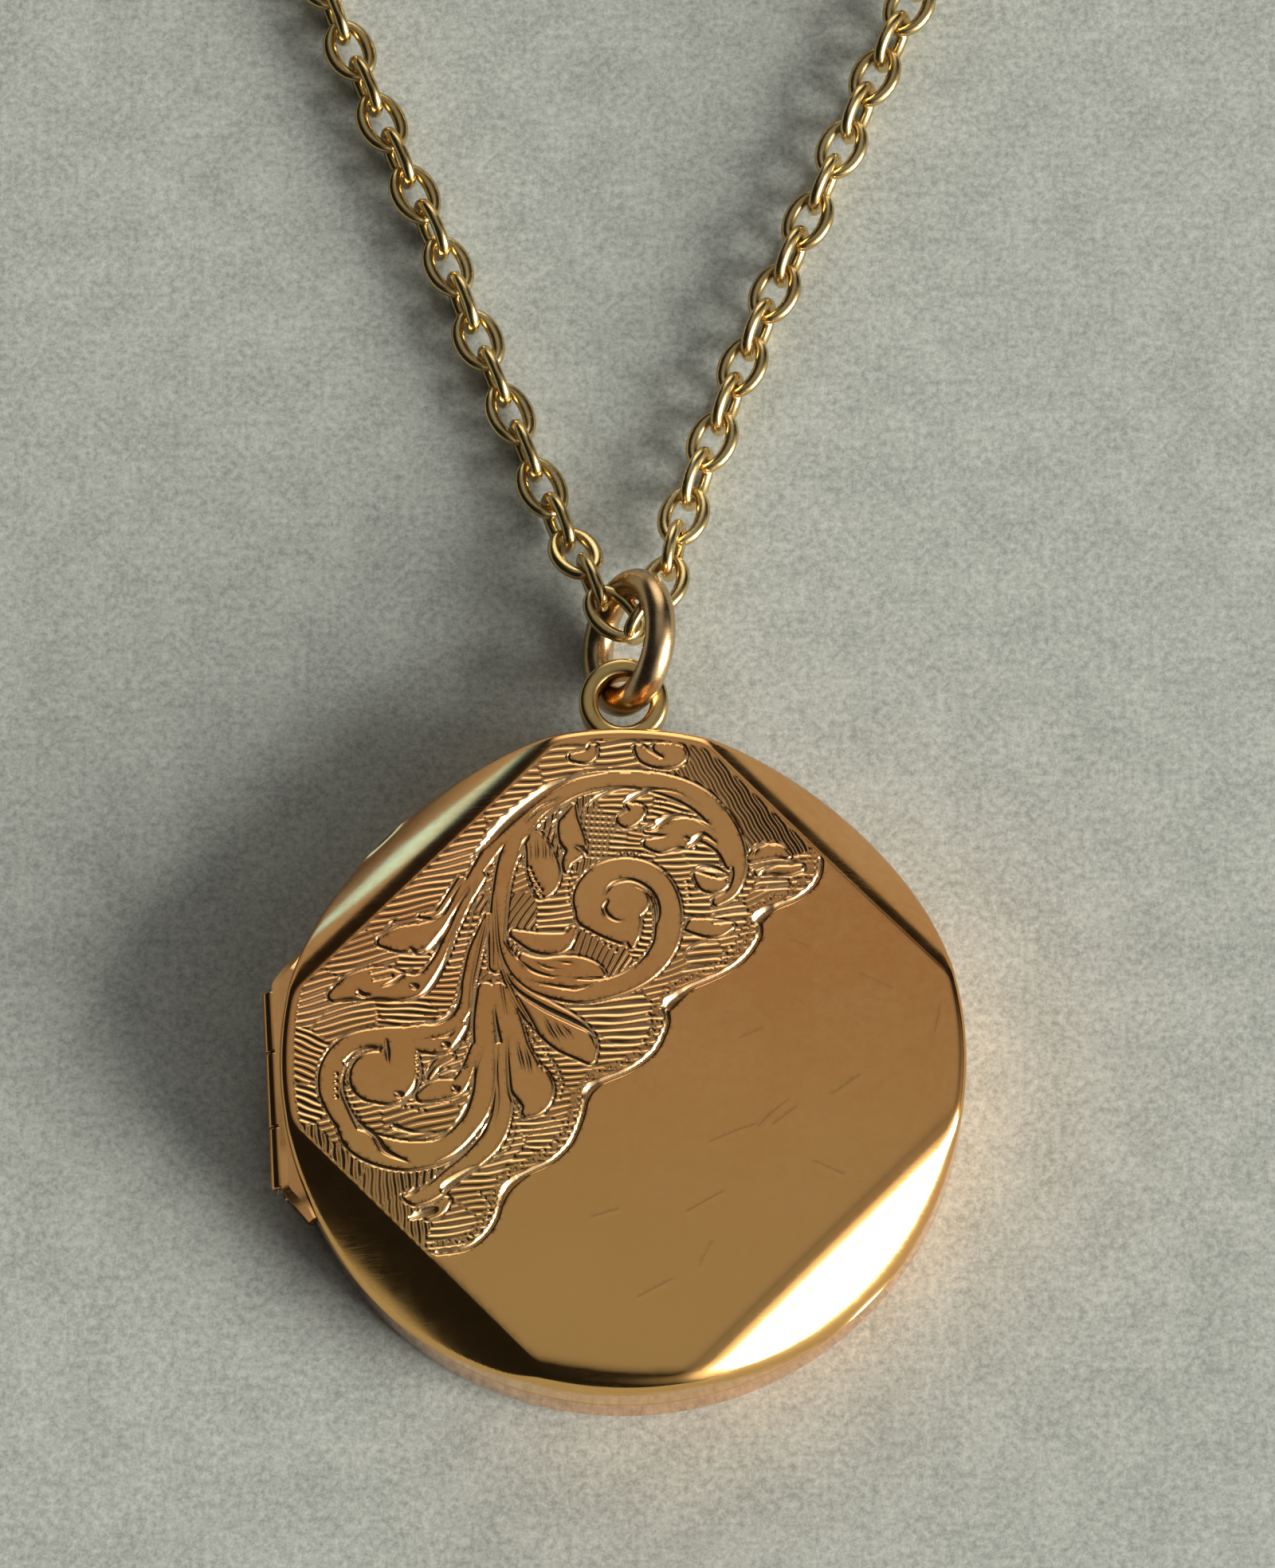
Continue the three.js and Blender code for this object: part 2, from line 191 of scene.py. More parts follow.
def turned(name, profile, material, body, node, segments=180, closed=True):
    """A profile of [r, z] points turned about Z. An open profile starts and ends on the axis."""
    p = np.asarray(profile, float)
    if closed:
        points, faces = rings(p, segments), grid_faces(len(p), segments, closed=True)
    else:
        off_axis = p[p[:, 0] > 1e-6]
        points = np.vstack([rings(off_axis, segments), [0, 0, p[0][1]], [0, 0, p[-1][1]]])
        faces = capped(len(off_axis), segments)
    crease(add_mesh(name, points, faces, material, body, node))


def frames_along(line):
    """Unit tangent, side and up vectors at each point of a line."""
    t = np.gradient(line, axis=0)
    t /= np.linalg.norm(t, axis=1)[:, None]
    side = np.cross(t, (0, 0, 1))
    side /= np.linalg.norm(side, axis=1)[:, None]
    return t, side, np.cross(side, t)


def swept(line, radii, sides):
    """Points and faces of a closed-ended round bar along a line, with a radius at each point."""
    _, side, rise = frames_along(line)
    a = circle(sides)[:, None]
    bar = [p + r * (np.cos(a) * s + np.sin(a) * u) for p, r, s, u in zip(line, radii, side, rise)]
    return np.concatenate(bar + [line[:1], line[-1:]]), capped(len(line), sides)


def ring_bar(wire, start, stop, steps, sides):
    """A bent stretch of round wire of the clasp, from one angle to another in degrees."""
    a = np.radians(np.linspace(start, stop, steps))
    line = np.stack([CLASP_RADIUS * np.cos(a), CLASP_RADIUS * np.sin(a), 0 * a], 1)
    return swept(line, np.full(steps, wire), sides)


def torus(radius, wire, around, sides):
    a, b = circle(around)[:, None], circle(sides)
    reach = radius + wire * np.cos(b)
    points = np.stack([reach * np.cos(a), reach * np.sin(a), wire * np.sin(b) + 0 * a], -1)
    return points.reshape(-1, 3), grid_faces(around, sides, closed=True, flip=True)


def placed(points, turn, at=(0, 0, 0)):
    """Points turned by a mathutils rotation and moved."""
    return np.asarray(points) @ np.array(turn).T + np.array(at)


# ---- materials -------------------------------------------------------------------------------------


class Shader:
    """A material's node tree, built with short calls."""

    def __init__(self, name, metallic=0.0):
        self.material = bpy.data.materials.new(name)
        self.material.use_nodes = True
        self.tree = self.material.node_tree
        self.surface = self.tree.nodes["Principled BSDF"]
        self.surface.inputs["Metallic"].default_value = metallic
        self.place = self.made("ShaderNodeTexCoord", {}, "Object")

    def made(self, kind, values, output=0, **settings):
        """One output of a new node with these settings and input values."""
        node = self.tree.nodes.new(kind)
        for key, value in settings.items():
            setattr(node, key, value)
        for key, value in values.items():
            self.feed(node.inputs[key], value)
        return node.outputs[output]

    def feed(self, socket, value):
        if isinstance(value, bpy.types.NodeSocket):
            self.tree.links.new(value, socket)
        else:
            socket.default_value = value

    def math(self, operation, a, b=0.0):
        return self.made("ShaderNodeMath", {0: a, 1: b}, operation=operation)

    def ramp(self, value, *span):
        """A value mapped from one range to another, 0 to 1 if it isn't given, and held inside it."""
        limits = span if len(span) == 4 else (*span, 0.0, 1.0)
        return self.made("ShaderNodeMapRange", dict(enumerate((value, *limits))), clamp=True)

    def stretched(self, turn, scale):
        turns = (0, 0, math.radians(turn))
        return self.made("ShaderNodeMapping", {"Vector": self.place, "Rotation": turns, "Scale": scale})

    def noise(self, scale, detail=3.0, place=None, roughness=0.55):
        values = {"Vector": place or self.place, "Scale": scale, "Detail": detail, "Roughness": roughness}
        return self.made("ShaderNodeTexNoise", values, "Fac")

    def scratches(self, turn, density):
        """Thin broken lines that run one way, 1 on a line and 0 off it."""
        lines = self.noise(density, 1.0, self.stretched(turn, (1, 14, 1)))
        near = self.math("ABSOLUTE", self.math("SUBTRACT", lines, 0.5))
        broken = self.noise(density * 0.35, 2.0, self.stretched(turn + 11, (1, 1.6, 1)))
        return self.math("MULTIPLY", self.ramp(near, 0.0, 0.04, 1.0, 0.0), self.ramp(broken, 0.52, 0.62))

    def blend(self, factor, a, b):
        return self.made("ShaderNodeMix", {"Factor": factor, "A": a, "B": b}, "Result", data_type="RGBA")

    def bump(self, height, strength, distance):
        values = {"Strength": strength, "Distance": distance, "Height": height}
        self.feed(self.surface.inputs["Normal"], self.made("ShaderNodeBump", values))

    def tint(self, value):
        self.feed(self.surface.inputs["Base Color"], value)

    def rough(self, value):
        self.feed(self.surface.inputs["Roughness"], value)


def worn_gold(name, light, deep, rough, scratch_turns, scratch_scale=900, cuts=None):
    """Polished gold with slow colour drift, a hazy bloom and fine scratches. Where cuts are given, the
    surface
    carries painted light: it is tinted lighter and yellower towards low Y, the bottom of the front, and the
    cuts, where a mesh carries their depth, take a paler, creamier tint towards their floors, a painted
    highlight, and are duller."""
    s = Shader(name, metallic=1.0)
    drift = s.noise(110, 2.0)
    fine = s.math("ADD", s.math("MULTIPLY", drift, 0.7), s.math("MULTIPLY", s.noise(2600, 4.0), 0.3))
    colour = s.blend(s.ramp(fine, 0.42, 0.60), (*deep, 1), (*light, 1))
    haze = s.ramp(s.noise(1400, 4.0), 0.3, 0.75, rough * 0.85, rough * 1.25)
    if cuts:
        # Painted light: the surface is tinted lighter and yellower towards low Y, a painted brighter
        # reflection low on the front.
        across = s.made("ShaderNodeSeparateXYZ", {0: s.place}, "Y")
        low = s.ramp(s.math("ADD", across, s.math("MULTIPLY", drift, 0.012)), -0.004, 0.009)
        colour = s.blend(low, (0.93, 0.54, 0.185, 1), colour)
        # Painted highlight: cut floors are tinted paler and creamier so that their glints read cream; they
        # are also rougher.
        depth = s.made("ShaderNodeAttribute", {}, "Fac", attribute_name="cut_depth")
        colour = s.blend(s.ramp(depth, 0.1, 0.9, 0.0, 0.75), colour, (*cuts, 1))
        haze = s.math("ADD", haze, s.ramp(depth, 0.1, 0.9, 0.0, 0.12))
    s.tint(colour)
    lines = s.scratches(scratch_turns[0], scratch_scale)
    for turn in scratch_turns[1:]:
        lines = s.math("MAXIMUM", lines, s.scratches(turn, scratch_scale * 0.8))
    s.rough(s.math("ADD", haze, s.math("MULTIPLY", lines, 0.06)))
    grain = s.math("MULTIPLY", s.noise(5000, 2.0), 0.03)
    s.bump(s.math("SUBTRACT", grain, s.math("MULTIPLY", lines, 0.3)), 0.2, 0.000006)
    return s.material


rose_gold = worn_gold("rose_gold", (0.90, 0.50, 0.21), (0.84, 0.43, 0.16), 0.12, (28, 35, -50))
# The front's last colour is the painted highlight tint of its cut floors.
front_gold = worn_gold(
    "front_gold", (0.94, 0.49, 0.18), (0.86, 0.39, 0.13), 0.13, (28, 33, -55), 700, (0.80, 0.60, 0.36)
)
loop_gold = worn_gold("loop_gold", (0.74, 0.53, 0.22), (0.62, 0.42, 0.16), 0.2, (10, 75), 1600)
bail_gold = worn_gold("bail_gold", (0.76, 0.56, 0.32), (0.60, 0.40, 0.20), 0.24, (60, -20), 1800)
chain_gold = worn_gold("chain_gold", (0.78, 0.60, 0.29), (0.62, 0.45, 0.19), 0.22, (45, -45), 2200)
gilt = worn_gold("gilt_metal", (0.86, 0.66, 0.34), (0.74, 0.52, 0.24), 0.3, (0, 90, 40), 1200)


def steel_pin():
    s = Shader("pin_metal", metallic=1.0)
    s.tint(s.blend(s.ramp(s.noise(900), 0.4, 0.7), (0.55, 0.42, 0.26, 1), (0.75, 0.6, 0.4, 1)))
    s.rough(s.ramp(s.noise(2500), 0.3, 0.7, 0.22, 0.42))
    s.bump(s.noise(5000), 0.2, 0.00001)
    return s.material


def blank_card():
    s = Shader("blank_card")
    fibre = s.noise(5200, 5.0, s.stretched(20, (1, 3, 1)))
    stain = s.ramp(s.noise(150, 3.0), 0.45, 0.8)
    paper = s.blend(fibre, (0.78, 0.72, 0.60, 1), (0.90, 0.86, 0.77, 1))
    s.tint(s.blend(stain, paper, (0.74, 0.62, 0.44, 1)))
    s.rough(s.ramp(fibre, 0.3, 0.7, 0.7, 0.92))
    s.bump(fibre, 0.5, 0.00003)
    return s.material


def old_crystal():
    s = Shader("old_crystal")
    s.surface.inputs["Transmission Weight"].default_value = 1.0
    s.surface.inputs["IOR"].default_value = 1.49
    s.tint(s.blend(s.ramp(s.noise(120), 0.4, 0.8), (0.98, 0.97, 0.93, 1), (0.96, 0.92, 0.82, 1)))
    lines = s.math("MAXIMUM", s.scratches(25, 1000), s.scratches(-65, 700))
    s.rough(s.math("ADD", s.ramp(s.noise(600), 0.3, 0.8, 0.02, 0.07), s.math("MULTIPLY", lines, 0.2)))
    s.bump(lines, 0.1, 0.00001)
    return s.material


pin_metal = steel_pin()
card_paper = blank_card()
crystal = old_crystal()

# ---- the camera, first -----------------------------------------------------------------------------

camera_data = bpy.data.cameras.new("camera")
camera = bpy.data.objects.new("camera", camera_data)
bpy.context.collection.objects.link(camera)
bpy.context.scene.camera = camera
camera_data.sensor_fit = "HORIZONTAL"
camera_data.sensor_width = 36
camera_data.lens = 211.5
camera_data.clip_start = 0.005
camera_data.clip_end = 10
camera.location = Vector((2.83, -75.28, 289.44)) * M
ahead = (Vector((0.55, 11.9, 2.4)) * M - camera.location).normalized()
right = ahead.cross((0, 1, 0)).normalized()
camera.rotation_euler = Matrix((right, right.cross(ahead), -ahead)).transposed().to_euler()

# ---- the chain -------------------------------------------------------------------------------------

LIE = 1.08
LEFT_RUN = [
    (-1.0, 19.75, 2.72), (-1.5, 20.95, 2.25), (-1.95, 21.8, 1.85), (-2.45, 22.8, 1.45),
    (-3.05, 24.2, 1.15), (-3.65, 25.6, LIE), (-4.9, 28.7, LIE), (-6.2, 31.85, LIE),
    (-7.45, 35.05, LIE), (-8.85, 38.2, LIE), (-10.2, 41.3, LIE), (-11.55, 44.5, LIE),
    (-12.85, 47.8, LIE), (-14.0, 51.2, LIE), (-14.75, 54.5, LIE), (-14.95, 57.6, LIE),
]  # fmt: skip
RIGHT_RUN = [
    (0.85, 18.75, 2.6), (1.4, 19.8, 2.3), (1.75, 21.0, 2.0), (2.2, 22.8, 1.4),
    (2.65, 24.4, 1.12), (3.85, 27.6, LIE), (5.05, 30.7, LIE), (6.4, 33.9, LIE),
    (7.8, 37.1, LIE), (9.2, 40.25, LIE), (10.55, 43.3, LIE), (11.9, 46.2, LIE),
    (13.25, 49.4, LIE), (14.4, 53.0, LIE), (15.05, 57.3, 1.35),
]  # fmt: skip
# Inside the coil, from its centre: to the clasp, through the clasp, and away from it.
CLASP_LEFT = [(-7.15, -0.9, LIE), (-7.05, 0.7, LIE), (-6.7, 2.0, LIE), (-6.05, 2.95, LIE)]
CLASP_SPAN = [(-5.1, 3.35, 1.0), (-3.2, 3.4, 0.85), (0.3, 3.4, 0.9), (3.0, 3.4, 1.1)]
CLASP_RIGHT = [(3.85, 3.4, 1.2), (5.2, 3.15, LIE), (6.35, 2.2, 1.15), (6.95, 0.8, 1.35), (7.15, -0.9, 1.65)]
WAIST_LOW = (0.25, 18.4, 2.78)
WAIST_HIGH = (-0.35, 18.85, 2.82)


def spiral(start, stop, outer, inner, height):
    """Points of a flat spiral about the coil's centre, by angle in degrees."""
    count = int(abs(stop - start) / 14)
    out = []
    for i in range(count + 1):
        f = i / count
        a = math.radians(start + (stop - start) * f)
        r = outer + (inner - outer) * f
        out.append((r * math.cos(a), r * math.sin(a), height))
    return out


def chain_route():
    """The chain's centre line, from the bail ring round through the coil and the clasp and back."""
    coil_in = spiral(178, -468, 13.9, 8.8, LIE)
    coil_out = spiral(-72, -1078, 8.0, 14.0, 3.22)
    coil_out[0] = (*coil_out[0][:2], 2.9)
    far = coil_in + [(-4.6, -7.4, LIE), (-6.5, -4.4, LIE)] + CLASP_LEFT + CLASP_SPAN
    far += CLASP_RIGHT + [(6.6, -4.0, 2.2), (5.0, -7.2, 2.7)] + coil_out
    course = [WAIST_LOW, WAIST_HIGH] + LEFT_RUN + [(x, y + COIL_Y, z) for x, y, z in far]
    course += [(14.95, 61.0, 2.1)] + RIGHT_RUN[::-1] + [WAIST_LOW]
    return even_steps(smooth_line(course, 10), 0.35)


def link_shape(sides=10, around=28):
    """One oval link lying flat, its length along X: thick at its sides and slim at its ends."""
    t = circle(around)
    line = np.stack([LINK_REACH * np.cos(t), LINK_SPREAD * np.sin(t), 0 * t], 1)
    tangent = np.roll(line, -1, 0) - np.roll(line, 1, 0)
    tangent /= np.linalg.norm(tangent, axis=1)[:, None]
    out = np.cross(tangent, (0, 0, 1))
    b = circle(sides)[None, :, None]
    wide = LINK_END / 2 + (LINK_SIDE - LINK_END) / 2 * np.sin(t) ** 2
    points = line[:, None] + np.cos(b) * (wide[:, None] * out)[:, None]
    points = points + LINK_DEEP / 2 * np.sin(b) * np.array([0, 0, 1.0])
    return points.reshape(-1, 3), grid_faces(around, sides, closed=True)


def make_chain(course):
    """Every link along the route, face on and edge on in turn, but none where the clasp is."""
    along = lengths_along(course)

    def at(distance):
        return np.array([np.interp(distance, along, column) for column in course.T])

    from_coil = course - np.array([0, COIL_Y, 0])
    at_clasp = along[(np.abs(from_coil[:, 0] + 0.9) < 4.8) & (np.abs(from_coil[:, 1] - 3.3) < 0.6)]
    unit, unit_faces = link_shape()
    _, side, _ = frames_along(course)
    count = int(along[-1] / LINK_PITCH)
    points, faces = [], []
    shake = np.random.default_rng(7)
    for i in range(count):
        here = (i + 0.5) * along[-1] / count
        if at_clasp.min() < here < at_clasp.max():
            continue
        k = min(len(course) - 2, int(np.searchsorted(along, here)))
        t = at(here + 0.6) - at(here - 0.6)
        t /= np.linalg.norm(t)
        s = side[k] - t * np.dot(side[k], t)
        s /= np.linalg.norm(s)
        u = np.cross(s, t)
        roll = math.radians((78 if i % 2 else -14) + shake.uniform(-8, 8))
        c, q = math.cos(roll), math.sin(roll)
        base = len(points) * len(unit)
        points.append(unit @ np.array([t, c * s + q * u, c * u - q * s]) + at(here))
        faces.extend([tuple(base + v for v in f) for f in unit_faces])
    cloud = np.concatenate(points)
    cloud[:, 2] = np.maximum(cloud[:, 2], 0.01)
    stretches = ("left_run", "waist", "right_run", "coil", "clasp_left_run", "clasp_right_run")
    return add_mesh("necklace_chain", cloud, faces, chain_gold, "bail", ["chain_" + s for s in stretches])


route = chain_route()
chain = make_chain(route)

# ---- the clasp -------------------------------------------------------------------------------------

STEM_TURN = math.radians(74)
STEM_REACHES = (CLASP_RADIUS, 2.5, 2.9, 3.05, 3.15, 3.22)
STEM_RADII = (0.17, 0.17, 0.17, 0.2, 0.19, 0.1)
SMALL_RINGS = (
    # name, node, radius, wire, x, z and lean in degrees
    ("clasp_eye_ring", "clasp_eye", 0.6, 0.2, -3.5, CLASP_Z, 90),
    ("jump_ring", "clasp_jump_ring", 0.95, 0.2, -4.5, CLASP_Z, 4),
    ("tag_ring", "clasp_tag_ring", 1.12, 0.21, 2.35, 1.36, 86),
)


def clasp_pieces():
    """The bolt ring's body, its small rings, and its bolt with the trigger."""

    def seated(points):
        return placed(points, Matrix.Rotation(-CLASP_TILT, 3, "Y"), (0, CLASP_Y, CLASP_Z))

    body, faces = ring_bar(CLASP_WIRE, 66, 388, 90, 24)
    made = [add_mesh("bolt_ring_body", seated(body), faces, chain_gold, "bail", "clasp_body")]
    bolt, bolt_faces = ring_bar(BOLT_WIRE, 24, 112, 30, 16)
    stem_line = np.array([[r * math.cos(STEM_TURN), r * math.sin(STEM_TURN), 0] for r in STEM_REACHES])
    stem, stem_faces = swept(stem_line, STEM_RADII, 14)
    faces = bolt_faces + [tuple(v + len(bolt) for v in f) for f in stem_faces]
    both = seated(np.vstack([bolt, stem]))
    trigger = add_mesh("bolt_and_trigger", both, faces, chain_gold, "clasp_bolt", "clasp_bolt")
    for name, node, radius, wire, x, z, lean in SMALL_RINGS:
        ring, faces = torus(radius, wire, 48, 14)
        ring = placed(ring, Matrix.Rotation(math.radians(lean), 3, "X"), (x, CLASP_Y, z))
        made.append(add_mesh(name, ring, faces, chain_gold, "bail", node))
    return made + [trigger]


clasp_pieces()

# ---- the engraving on the front --------------------------------------------------------------------

# Each scallop of the border runs from one cusp to the next.
SCALLOPS = [
    [(7.85, 8.0), (7.75, 7.3), (7.4, 6.75), (6.8, 6.3), (6.1, 6.0), (5.5, 5.65)],
    [(5.35, 5.4), (5.4, 4.9), (5.15, 4.35), (4.7, 3.8), (4.1, 3.35), (3.4, 3.0), (2.7, 2.7), (2.1, 2.35)],
    [(1.7, 1.8), (1.75, 1.3), (1.6, 0.8), (1.3, 0.2), (0.8, -0.3), (0.2, -0.7), (-0.5, -1.0), (-1.1, -1.25)],
    [(-1.45, -1.8), (-1.6, -2.5), (-1.85, -3.2), (-2.2, -3.8), (-2.8, -4.35), (-3.5, -4.7), (-4.1, -5.0)],
    [(-4.75, -5.9), (-4.9, -6.5), (-5.15, -7.0), (-5.6, -7.5), (-6.2, -7.85), (-7.2, -8.0)],
]  # fmt: skip

# Plain raised scrolls and leaves: (x, y, width) along each one's middle.
SCROLLS = [
    # the long arc from the stem over the top
    [(-5.0, 3.6, 0.5), (-4.95, 5.2, 0.6), (-4.8, 6.8, 0.6), (-4.5, 8.1, 0.7), (-3.9, 9.3, 0.8),
     (-2.9, 10.4, 0.8), (-1.6, 11.1, 0.75), (0.0, 11.3, 0.65), (1.5, 11.1, 0.8), (2.9, 10.5, 0.9),
     (3.9, 9.5, 0.85), (4.45, 8.4, 0.7), (4.6, 7.4, 0.45), (4.3, 6.6, 0.35), (3.7, 6.2, 0.3)],
    # the central spiral
    [(-4.9, 4.6, 0.3), (-4.4, 3.6, 0.7), (-3.2, 2.9, 0.9), (-1.7, 2.55, 0.9), (-0.3, 2.75, 0.75),
     (0.85, 3.35, 0.8), (1.6, 4.3, 0.9), (1.8, 5.4, 1.0), (1.65, 6.4, 1.0), (1.1, 7.15, 1.05),
     (0.2, 7.45, 1.1), (-0.7, 7.1, 1.4), (-1.1, 6.3, 1.7), (-0.6, 5.7, 1.7), (0.05, 5.6, 1.2),
     (0.3, 5.0, 0.7), (0.35, 4.4, 0.15)],
    [(-1.3, 5.7, 1.1), (-0.6, 5.2, 0.9), (0.0, 4.8, 0.6)], [(0.0, 6.4, 1.2), (0.4, 6.2, 1.2)],
    # the shell leaf left of the spiral
    [(-3.7, 9.1, 0.5), (-3.35, 8.4, 0.9), (-3.15, 7.6, 1.25), (-3.1, 7.0, 1.0), (-3.25, 6.5, 0.3)],
    [(-2.0, 10.2, 0.2), (-2.15, 9.6, 0.7), (-2.05, 8.9, 0.95), (-1.85, 8.4, 0.7), (-2.2, 7.9, 0.35),
     (-2.25, 7.5, 0.15)],
    [(-4.3, 4.9, 0.3), (-3.4, 4.55, 0.75), (-2.6, 4.5, 0.8), (-2.2, 4.7, 0.5), (-1.95, 5.1, 0.2)],
    [(-3.9, 3.9, 0.4), (-2.9, 3.6, 0.7), (-1.9, 3.5, 0.9), (-1.2, 3.4, 0.6), (-0.8, 3.2, 0.2)],
    # leaves under the long arc
    [(0.2, 10.2, 0.15), (0.6, 9.95, 0.5), (0.2, 9.6, 0.6), (-0.1, 9.6, 0.3)],
    [(0.9, 9.15, 0.2), (1.7, 9.25, 0.6), (2.6, 9.25, 0.8), (3.4, 8.95, 0.7), (3.95, 8.4, 0.5),
     (4.2, 7.7, 0.25)],
    [(1.0, 8.6, 0.35), (1.5, 8.55, 0.6), (2.1, 8.7, 0.5), (2.7, 8.5, 0.2)],
    [(2.9, 7.3, 0.2), (3.3, 6.95, 0.6), (3.8, 6.9, 0.5), (4.1, 7.1, 0.2)],
    [(2.4, 5.2, 0.2), (2.9, 5.2, 0.6), (3.6, 5.1, 0.7), (4.2, 5.2, 0.3)],
    [(5.05, 8.0, 0.3), (5.5, 8.25, 0.6), (6.1, 8.3, 0.5), (6.5, 8.1, 0.2)],
    [(5.3, 7.4, 0.2), (5.8, 7.5, 0.3), (6.5, 7.5, 0.35), (7.0, 7.6, 0.25)],
    [(1.4, 12.6, 0.4), (2.1, 12.3, 0.8), (1.6, 11.95, 0.4), (0.9, 12.2, 0.5), (0.6, 12.6, 0.3)],
    [(-2.0, 12.2, 0.3), (-1.4, 12.25, 0.5), (-1.2, 12.6, 0.3)],
    # leaves on the left
    [(-9.5, 4.6, 0.35), (-8.7, 4.7, 1.0), (-7.8, 4.85, 1.0), (-7.1, 5.3, 0.65), (-6.6, 6.1, 0.45),
     (-6.0, 7.1, 0.4), (-5.4, 8.1, 0.5), (-4.6, 9.2, 0.55), (-3.6, 10.2, 0.5), (-2.5, 10.95, 0.35)],
    [(-8.0, 5.65, 0.1), (-7.3, 5.75, 0.3), (-6.8, 6.4, 0.35), (-6.4, 7.1, 0.3)],
    [(-11.4, 2.4, 0.4), (-10.6, 2.75, 1.0), (-9.6, 2.9, 1.3), (-8.6, 2.75, 1.0), (-7.8, 3.0, 0.65),
     (-7.2, 3.9, 0.45), (-6.7, 5.1, 0.35), (-6.2, 6.2, 0.3), (-5.6, 7.3, 0.3)],
    # the stem down to the lower scroll
    [(-5.3, 5.6, 0.3), (-5.8, 4.2, 0.5), (-6.1, 2.8, 0.5), (-6.35, 1.8, 0.6), (-6.9, 1.15, 0.6),
     (-7.8, 0.9, 0.6), (-8.7, 0.75, 0.7), (-9.7, 0.65, 0.8), (-10.7, 0.35, 0.85), (-11.35, -0.4, 0.9),
     (-11.5, -1.4, 0.8), (-11.1, -2.4, 0.7), (-10.6, -3.2, 0.5)],
    # the lower scroll and its heart
    [(-5.4, 2.6, 0.6), (-5.45, 1.2, 0.8), (-5.35, -0.4, 0.85), (-5.45, -1.8, 0.9), (-6.0, -3.0, 0.9),
     (-7.0, -3.85, 0.9), (-8.3, -4.1, 1.1), (-9.5, -3.9, 1.1), (-10.4, -3.5, 0.9), (-11.0, -3.0, 0.3)],
    [(-9.7, -0.9, 2.0), (-9.0, -0.9, 2.0), (-8.8, 0.0, 1.4)],
    [(-8.1, 0.35, 0.4), (-7.3, 0.35, 0.6), (-6.7, 0.5, 0.5), (-6.3, 1.1, 0.3)],
    [(-7.9, -1.7, 0.4), (-7.2, -1.45, 0.8), (-6.5, -1.3, 0.6), (-6.1, -0.6, 0.4), (-5.8, 0.3, 0.3)],
    [(-7.6, -0.9, 0.2), (-7.3, -0.4, 0.3), (-6.8, -0.1, 0.3)],
    # the leaves that hang from the stem
    [(-4.6, 3.4, 0.4), (-4.0, 2.4, 0.8), (-3.2, 1.6, 1.2), (-2.3, 0.9, 1.5), (-1.65, 0.4, 1.2),
     (-1.3, -0.2, 0.4)],
    [(-4.9, 2.6, 0.6), (-4.5, 1.4, 0.9), (-4.2, 0.2, 1.0), (-3.9, -0.8, 1.4), (-3.5, -1.4, 1.5),
     (-3.45, -2.0, 0.9), (-3.9, -2.5, 0.15)],
    [(-4.8, 0.2, 0.5), (-4.7, -1.2, 0.6), (-4.75, -2.4, 0.7), (-5.1, -3.4, 0.8), (-5.8, -4.2, 0.7),
     (-6.7, -4.9, 0.6), (-7.4, -5.5, 0.6), (-8.1, -5.8, 0.5), (-8.5, -5.7, 0.2)],
    [(-7.6, -6.4, 0.5), (-7.2, -6.2, 0.5), (-6.9, -5.9, 0.3)],
]  # fmt: skip

